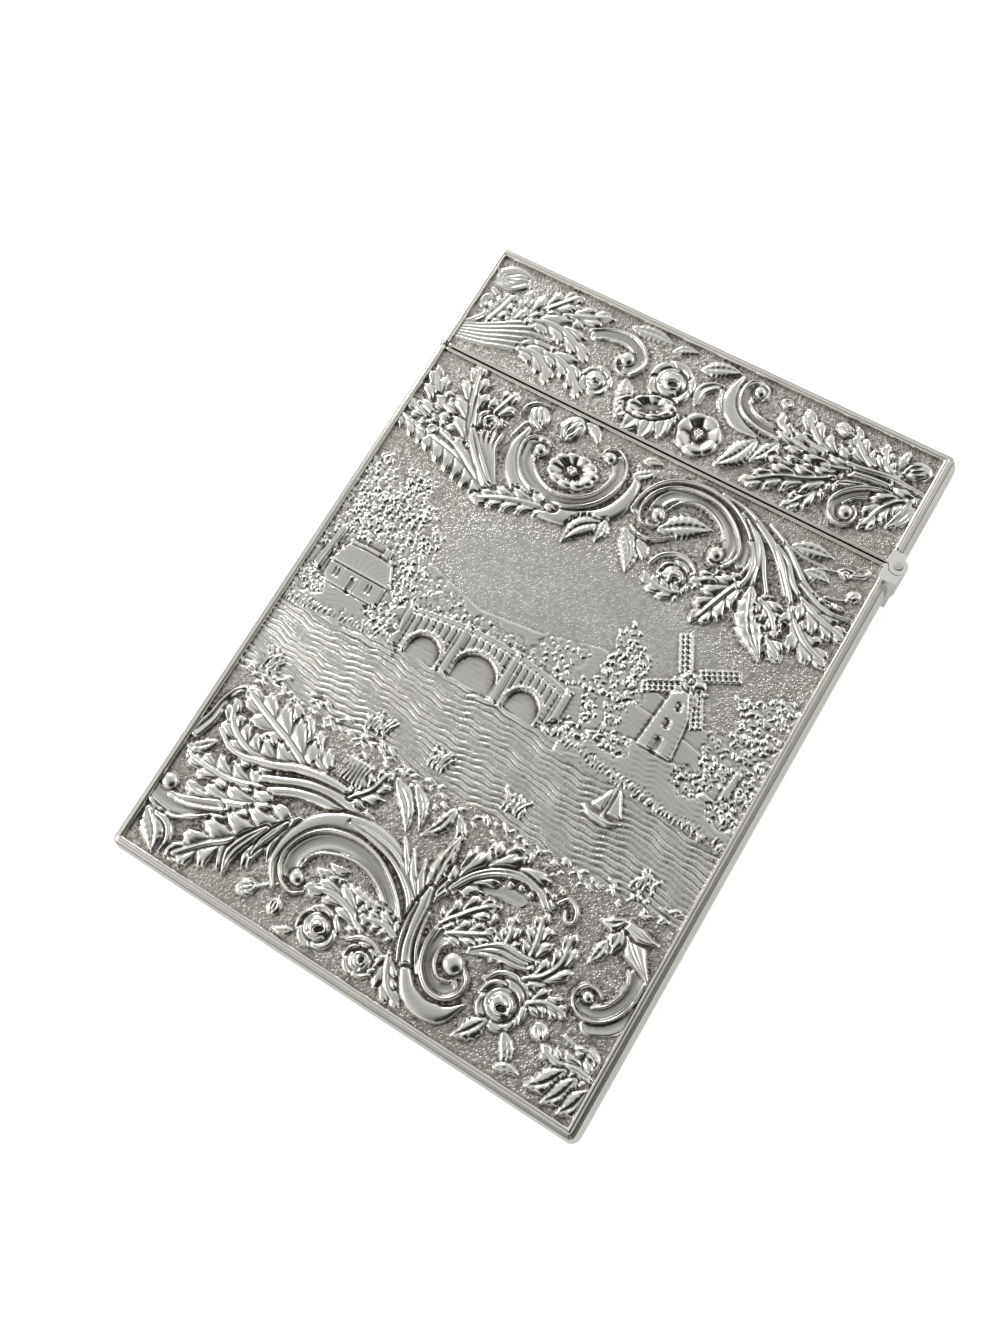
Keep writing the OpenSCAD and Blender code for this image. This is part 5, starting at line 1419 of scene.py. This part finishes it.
def moulding(name, body, outward, start, end, round_start, round_end, notch=(), seed=0):
    """A length of moulding along one side of the case. A rounded end turns half of its corner."""
    draw = np.random.default_rng(seed)
    outward = np.array(outward, float)
    ahead = np.array([-outward[1], outward[0]])
    panel_edge = side_x if outward[0] else end_y
    # Stations: the way along the side, and how far the section has turned into the corner
    spacing = 0.5
    stations = [(t, 0.0) for t in np.linspace(start, end, max(3, int((end - start) / spacing)))]
    stations += [(t, 0.0) for edge in notch for t in (edge - 0.001, edge + 0.001)]
    stations.sort()
    turn = np.linspace(45, 0, 9)[:-1]
    if round_start:
        stations = [(start, -a) for a in turn] + stations
    if round_end:
        stations = stations + [(end, a) for a in turn[::-1]]
    along = np.array([s[0] for s in stations])
    angle = np.radians([s[1] for s in stations])
    u, z = section[:, 0], section[:, 1]
    # Radius of the corner, small at the bead and large on the bulge
    r = 0.1 + 1.2 * (u / mould_w) ** 1.4
    # Slight waves and dents of use on the bulge and the bead
    wear = np.zeros((len(stations), len(u)))
    outer = np.arange(len(u)) > len(inner_bulge) + 1
    for waves, depth in ((5, 0.008), (24, 0.008), (70, 0.006)):
        rough = draw.normal(size=(waves, 9))
        rows = np.array([np.interp(np.linspace(0, waves - 1, len(stations)), range(waves), column)
                         for column in rough.T]).T
        columns = np.array([np.interp(np.linspace(0, 8, len(u)), range(9), row) for row in rows])
        wear += depth * columns
    from_end = np.minimum(np.arange(len(stations)), np.arange(len(stations))[::-1])
    fade = np.minimum(1, from_end / 10)
    wear = np.clip(np.where(outer, wear, 0) * fade[:, None], -0.05, 0.0)
    out = u[None, :] - r + r * np.cos(angle)[:, None] + wear
    forward = along[:, None] + np.sign(angle)[:, None] * (u[None, :] - r) * (angle != 0)[:, None]
    forward = forward + r * np.sin(angle)[:, None]
    if notch:
        # The wall is cut down where the lid's knuckles turn
        cut = (along > notch[0]) & (along < notch[1])
        deepest = np.where(outer, 1.1, 1.0)
        out = np.where(cut[:, None], np.minimum(out, deepest), out)
    plan = (panel_edge + out)[..., None] * outward + forward[..., None] * ahead
    points = np.dstack([plan, np.broadcast_to(z, out.shape)])
    rows, columns = out.shape
    grid = np.arange(rows * columns).reshape(rows, columns)
    caps = np.stack([grid[0, ::-1], grid[-1]])
    piece = make_mesh(name, points.reshape(-1, 3), [ringed(grid), caps], (True, False))
    # How far out each point lies, by which the tarnish, painted shade and painted lighter tone are placed.
    # The inner side lies past all of it.
    past_all_marks = 3.0
    across = np.broadcast_to(np.where(outer, u, past_all_marks), out.shape).ravel().astype(np.float32)
    piece.data.attributes.new("across", "FLOAT", "POINT").data.foreach_set("value", across)
    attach(piece, body)
    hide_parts(name.replace("_moulding", "_wall"))
    return piece


# The seam and the lips beside it, and the ends of the hinge's blocks
body_lip_y, seam_y, lid_lip_y = 31.875, 32.0, 32.125
hinge_low_y, hinge_high_y = 29.7, 34.0
notch = (28.8, 29.699)
mouldings = [
    moulding("body_bottom_moulding", "body", (0, -1), -side_x, side_x, True, True, seed=1),
    moulding("body_right_moulding", "body", (1, 0), -end_y, hinge_low_y, True, False, notch, seed=2),
    moulding("body_left_moulding", "body", (-1, 0), -body_lip_y, end_y, False, True, seed=3),
    moulding("lid_right_moulding", "lid", (1, 0), hinge_high_y, end_y, False, True, seed=4),
    moulding("lid_top_moulding", "lid", (0, 1), -side_x, side_x, True, True, seed=5),
    moulding("lid_left_moulding", "lid", (-1, 0), -end_y, -lid_lip_y, True, False, seed=6),
]

polished, tree, shader, where = metal("polished_silver")
across = place(tree, "ShaderNodeAttribute", attribute_name="across").outputs["Fac"]
wear = use(tree, handling, Place=where)
# Tarnish and painted shade darken the cut line and both sides of the bead at its foot
from_line = reckon(tree, "ABSOLUTE", reckon(tree, "SUBTRACT", across, cut_line))
in_line = ranged(tree, from_line, 0.1, 0.03, 0.0, 0.45)
from_foot = reckon(tree, "ABSOLUTE", reckon(tree, "SUBTRACT", across, 0.78))
at_foot = ranged(tree, from_foot, 0.1, 0.02, 0.0, 0.3)
in_cove = reckon(tree, "MULTIPLY", ranged(tree, across, 0.74, 0.8), ranged(tree, across, 1.16, 1.1))
at_panel = ranged(tree, across, 0.12, 0.02, 0.0, 0.3)
tarnish_and_painted_shade = reckon(tree, "ADD", in_line, reckon(tree, "ADD", at_foot, at_panel), clamp=True)
on_bulge = ranged(tree, across, 1.22, 1.3)
# Painted shade darkens the cove, and a painted lighter tone on the bulge stands for its reflection
bright = tinted(tree, in_cove, (0.88, 0.865, 0.81, 1), (0.75, 0.735, 0.68, 1))
bright = tinted(tree, on_bulge, bright, (0.95, 0.935, 0.875, 1))
colour = use(tree, tarnish_and_shade, Place=where, Silver=bright, Recess=tarnish_and_painted_shade,
             Film=reckon(tree, "MULTIPLY_ADD", wear["Dullness"], 0.3, 0.05))["Color"]
rough = reckon(tree, "MULTIPLY_ADD", wear["Dullness"], 0.12, 0.1)
rough = reckon(tree, "MULTIPLY_ADD", in_cove, 0.12, rough)
surface(tree, shader, colour, rough, wear["Marks"], 0.004)
for piece in mouldings:
    piece.data.materials.append(polished)


# Mouth wires, one on the front and one on the back of the body and of the lid.
# Round silver wire, filed flat where it is soldered to the edge of the sheet. It stiffens the lip.
wire_w = 0.45


def mouth_wire(name, body, low_y, back, seed):
    """A wire across the mouth, a little uneven along its length"""
    draw = np.random.default_rng(seed)
    bend = np.linspace(math.pi, 0, 13)
    half = wire_w / 2
    crown, foot, steps = 8.8, 7.85, 150
    ring = [(low_y + half + half * math.cos(a), crown - half + half * math.sin(a)) for a in bend]
    ring = np.array([(low_y, foot), *ring, (low_y + wire_w, foot)])
    x = np.linspace(-side_x, side_x, steps)
    uneven = np.interp(x, np.linspace(-side_x, side_x, 40), draw.normal(size=40)) * 0.007
    y = np.broadcast_to(ring[:, 0], (steps, len(ring)))
    z = ring[:, 1] - np.abs(uneven)[:, None] * (ring[:, 1] > foot)
    if back:
        z = 2 * mid_z - z
    points = np.dstack([np.broadcast_to(x[:, None], y.shape), y, z]).reshape(-1, 3)
    grid = np.arange(len(points)).reshape(steps, -1)
    quads = ringed(grid)[:, [0, 3, 2, 1]]
    caps = np.stack([grid[0], grid[-1, ::-1]])
    faces = [quads, caps] if back else [quads[:, ::-1], caps[:, ::-1]]
    piece = make_mesh(name + "_round", points, faces, (True, False))
    # Its sides take the cut line's darkening as painted shade in the gap at the mouth, and its crown is left
    # as light as the bead's
    shaded_to, bead_crown = 3.95, 0.4
    shaded_sides = np.abs(points[:, 2] - mid_z) < shaded_to
    across = np.where(shaded_sides, cut_line, bead_crown).astype(np.float32)
    piece.data.attributes.new("across", "FLOAT", "POINT").data.foreach_set("value", across)
    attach(piece, body)
    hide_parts(name)
    piece.data.materials.append(polished)


mouth_wire("body_front_mouth_wire", "body", body_lip_y - wire_w, False, 7)
mouth_wire("body_back_mouth_wire", "body", body_lip_y - wire_w, True, 8)
mouth_wire("lid_front_mouth_wire", "lid", lid_lip_y, False, 9)
mouth_wire("lid_back_mouth_wire", "lid", lid_lip_y, True, 10)


# Hinge: a block soldered into the body's edge, one in the lid's, and a riveted pin.
# Cast and filed silver. The body's block has a cradle for the lid's two knuckles, and carries the
# knuckle between them.
pin_x, pin_y = 35.1, 32.2
knuckle_r, cradle_r = 1.2, 1.32


def arc(r, start, end, steps=40):
    """Points about the hinge's axis, from one angle to another"""
    angles = np.radians(np.linspace(start, end, steps))
    return np.column_stack([pin_x + r * np.cos(angles), pin_y + r * np.sin(angles)])


def shrunk(outline, by):
    """A closed outline moved inward by this much"""
    before = outline - np.roll(outline, 1, axis=0)
    after = np.roll(outline, -1, axis=0) - outline
    before /= np.hypot(*before.T)[:, None]
    after /= np.hypot(*after.T)[:, None]
    inward = np.column_stack([-before[:, 1] - after[:, 1], before[:, 0] + after[:, 0]])
    size = np.maximum((inward**2).sum(1), 0.8)
    return outline + by * 2 * inward / size[:, None]


def filed_block(outline, low_z, high_z, rounding=0.035):
    """Points and faces of an upright block whose edges are filed round"""
    levels = []
    for a in np.radians((0, 30, 60, 90)):
        levels.append((rounding * (1 - math.sin(a)), low_z + rounding * (1 - math.cos(a))))
    for a in np.radians((90, 60, 30, 0)):
        levels.append((rounding * (1 - math.sin(a)), high_z - rounding * (1 - math.cos(a))))
    rings = [np.column_stack([shrunk(outline, inset), np.full(len(outline), z)]) for inset, z in levels]
    grid = np.arange(len(rings) * len(outline)).reshape(len(rings), -1)
    return np.concatenate(rings), ringed(grid), [grid[0, ::-1], grid[-1]]


def hinge_piece(name, body, blocks):
    """One piece of several filed blocks"""
    points, faces, smooth, count = [], [], [], 0
    for outline, low_z, high_z in blocks:
        spots, quads, caps = filed_block(np.array(outline, float), low_z, high_z)
        points.append(spots)
        faces += [quads + count] + [cap[None] + count for cap in caps]
        smooth += [True, False, False]
        count += len(spots)
    piece = make_mesh(name + "_filed", np.concatenate(points), faces, tuple(smooth))
    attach(piece, body)
    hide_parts(name)
    return piece


# The block of the body, less its cradle, and the middle knuckle with the web under it
block = [(side_x, hinge_low_y), (36.0, hinge_low_y), (36.0, 31.2), *arc(cradle_r, -47.1, -165.7),
         (33.78, body_lip_y), (side_x, body_lip_y)]
middle = [(34.1, 30.2), (35.95, 30.2), (35.95, 31.36), *arc(knuckle_r, -44, 195), (34.1, 31.8)]
body_bracket = hinge_piece("hinge_body_bracket", "body", [(block, 0.0, case_t), (middle, 2.12, 6.88)])

# The block of the lid, and its knuckles at the front and the back
knuckle = [(side_x, lid_lip_y), *arc(knuckle_r, 183.6, 430.5), (35.5, 33.36), (35.5, hinge_high_y),
           (side_x, hinge_high_y)]
lid_bracket = hinge_piece("hinge_lid_bracket", "lid", [
    ([(side_x, 33.52), (35.48, 33.52), (35.48, 33.98), (side_x, 33.98)], 0.1, 8.9),
    (knuckle, 0.0, 2.0),
    (knuckle, 7.0, case_t),
])

# Worn white by handling, with a satin face from the file
filed, tree, shader, where = metal("filed_silver")
wear = use(tree, handling, Place=where)
strokes = noise(tree, where, 1.2, 3.0, 0.6, (1.0, 12.0, 12.0))
colour = use(tree, tarnish_and_shade, Place=where, Silver=(0.99, 0.98, 0.955, 1), Recess=0.0,
             Film=reckon(tree, "MULTIPLY", wear["Dullness"], 0.1))["Color"]
surface(tree, shader, colour, reckon(tree, "MULTIPLY_ADD", strokes, 0.12, 0.5), strokes, 0.008)
for piece in (body_bracket, lid_bracket):
    piece.data.materials.append(filed)

# The pin, whose front end is spread flat over the knuckle: its radius and height from back to front
sides = 48
turn = np.linspace(0, 2 * math.pi, sides, endpoint=False)
profile = [(0.5, 0.1), (0.58, 0.13), (0.6, 0.2), (0.6, 8.98), (0.58, 9.05), (0.52, 9.08), (0.3, 9.09),
           (0.1, 9.09)]
rings = [np.column_stack([pin_x + r * np.cos(turn), pin_y + r * np.sin(turn), np.full(sides, z)])
         for r, z in profile]
grid = np.arange(sides * len(profile)).reshape(-1, sides)
pin = make_mesh("hinge_pin_riveted", np.concatenate(rings), [ringed(grid), grid[:1, ::-1], grid[-1:]],
                (True, False, False))
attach(pin, "lid")
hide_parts("hinge_pin")

pin_stuff, tree, shader, where = metal("pin_silver")
hammered = noise(tree, where, 1.6, 3.0, 0.5)
# Dirt lies in the joint round its head
from_axis = feed(tree, place(tree, "ShaderNodeMapping"), Vector=where, Scale=(1, 1, 0),
                 Location=(-pin_x * MM, -pin_y * MM, 0)).outputs[0]
away = feed(tree, place(tree, "ShaderNodeVectorMath", operation="LENGTH"), Vector=from_axis)
colour = use(tree, tarnish_and_shade, Place=where, Silver=(0.95, 0.945, 0.92, 1),
             Recess=ranged(tree, away.outputs["Value"], 0.5 * MM, 0.57 * MM), Film=0.2)["Color"]
surface(tree, shader, colour, reckon(tree, "MULTIPLY_ADD", hammered, 0.25, 0.18), hammered, 0.03)
pin.data.materials.append(pin_stuff)


# Liner: four strips of plain sheet silver inside the mouth of the body.
# They are soldered inside the body and stand out of it, so that the lid shuts over them with friction.
# That rubs bright bands on them. The line where the lid's lip comes to rest, in the gap at the seam, is
# painted dark as shade.
liner_stuff, tree, shader, where = metal("liner_silver")
wear = use(tree, handling, Place=where)
rolled = noise(tree, where, 0.9, 4.0, 0.65, (1.0, 26.0, 26.0))
rubbed = noise(tree, where, 0.5, 3.0, 0.6, (14.0, 1.0, 1.0))
silver = tinted(tree, ranged(tree, rubbed, 0.45, 0.7), (0.72, 0.705, 0.67, 1), (0.93, 0.92, 0.9, 1))
along = feed(tree, place(tree, "ShaderNodeSeparateXYZ"), Vector=where).outputs["Y"]
# Painted shade in the gap at the seam, where the lid's lip rests, and dark spots along the rolling marks
from_lip = reckon(tree, "ABSOLUTE", reckon(tree, "SUBTRACT", along, seam_y * MM))
at_lip = ranged(tree, from_lip, 0.3 * MM, 0.1 * MM)
tarnish_and_painted_shade = reckon(tree, "MAXIMUM", at_lip, ranged(tree, rolled, 0.62, 0.85, 0.0, 0.35))
colour = use(tree, tarnish_and_shade, Place=where, Silver=silver, Recess=tarnish_and_painted_shade, Film=wear["Dullness"])["Color"]
rough = reckon(tree, "MULTIPLY_ADD", wear["Dullness"], 0.14, 0.16)
height = reckon(tree, "MULTIPLY_ADD", rolled, 0.6, wear["Marks"])
surface(tree, shader, colour, rough, height, 0.006)


def liner_strip(name, sideways):
    """A strip with rounded lips. Those in front and behind are thinner where they enter the lid."""
    low, high = [np.array(corner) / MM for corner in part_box(name)]
    steps = 90 if sideways else 14
    lip, lip_edge, tongue = 0.12, 0.03, 0.12
    y = np.array([low[1], low[1] + 0.02, low[1] + lip, 29.0, 31.0, body_lip_y - 0.02, body_lip_y + 0.02,
                  33.4, high[1] - lip, high[1] - lip_edge, high[1]])
    inset = np.array([lip, lip_edge, 0, 0, 0, 0, 0, 0, 0, lip_edge, lip])
    through, run = (2, 0) if sideways else (0, 2)
    thinner = tongue * (y > body_lip_y) * sideways
    in_front = low[2] > mid_z
    inner = low[through] + thinner * (not in_front) + inset
    outer = high[through] - thinner * in_front - inset
    points = np.empty((steps, 2 * len(y), 3))
    points[..., through] = np.concatenate([inner, outer[::-1]])
    points[..., 1] = np.concatenate([y, y[::-1]])
    points[..., run] = low[run] + np.linspace(0, 1, steps)[:, None] * (high[run] - low[run])
    grid = np.arange(points.size // 3).reshape(steps, -1)
    quads, caps = ringed(grid), np.stack([grid[0, ::-1], grid[-1]])
    faces = [quads, caps] if sideways else [quads[:, ::-1], caps[:, ::-1]]
    piece = make_mesh(name + "_rolled", points.reshape(-1, 3), faces, (False, False))
    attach(piece, "body")
    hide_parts(name)
    piece.data.materials.append(liner_stuff)


liner_strip("liner_front_strip", True)
liner_strip("liner_back_strip", True)
liner_strip("liner_left_strip", False)
liner_strip("liner_right_strip", False)
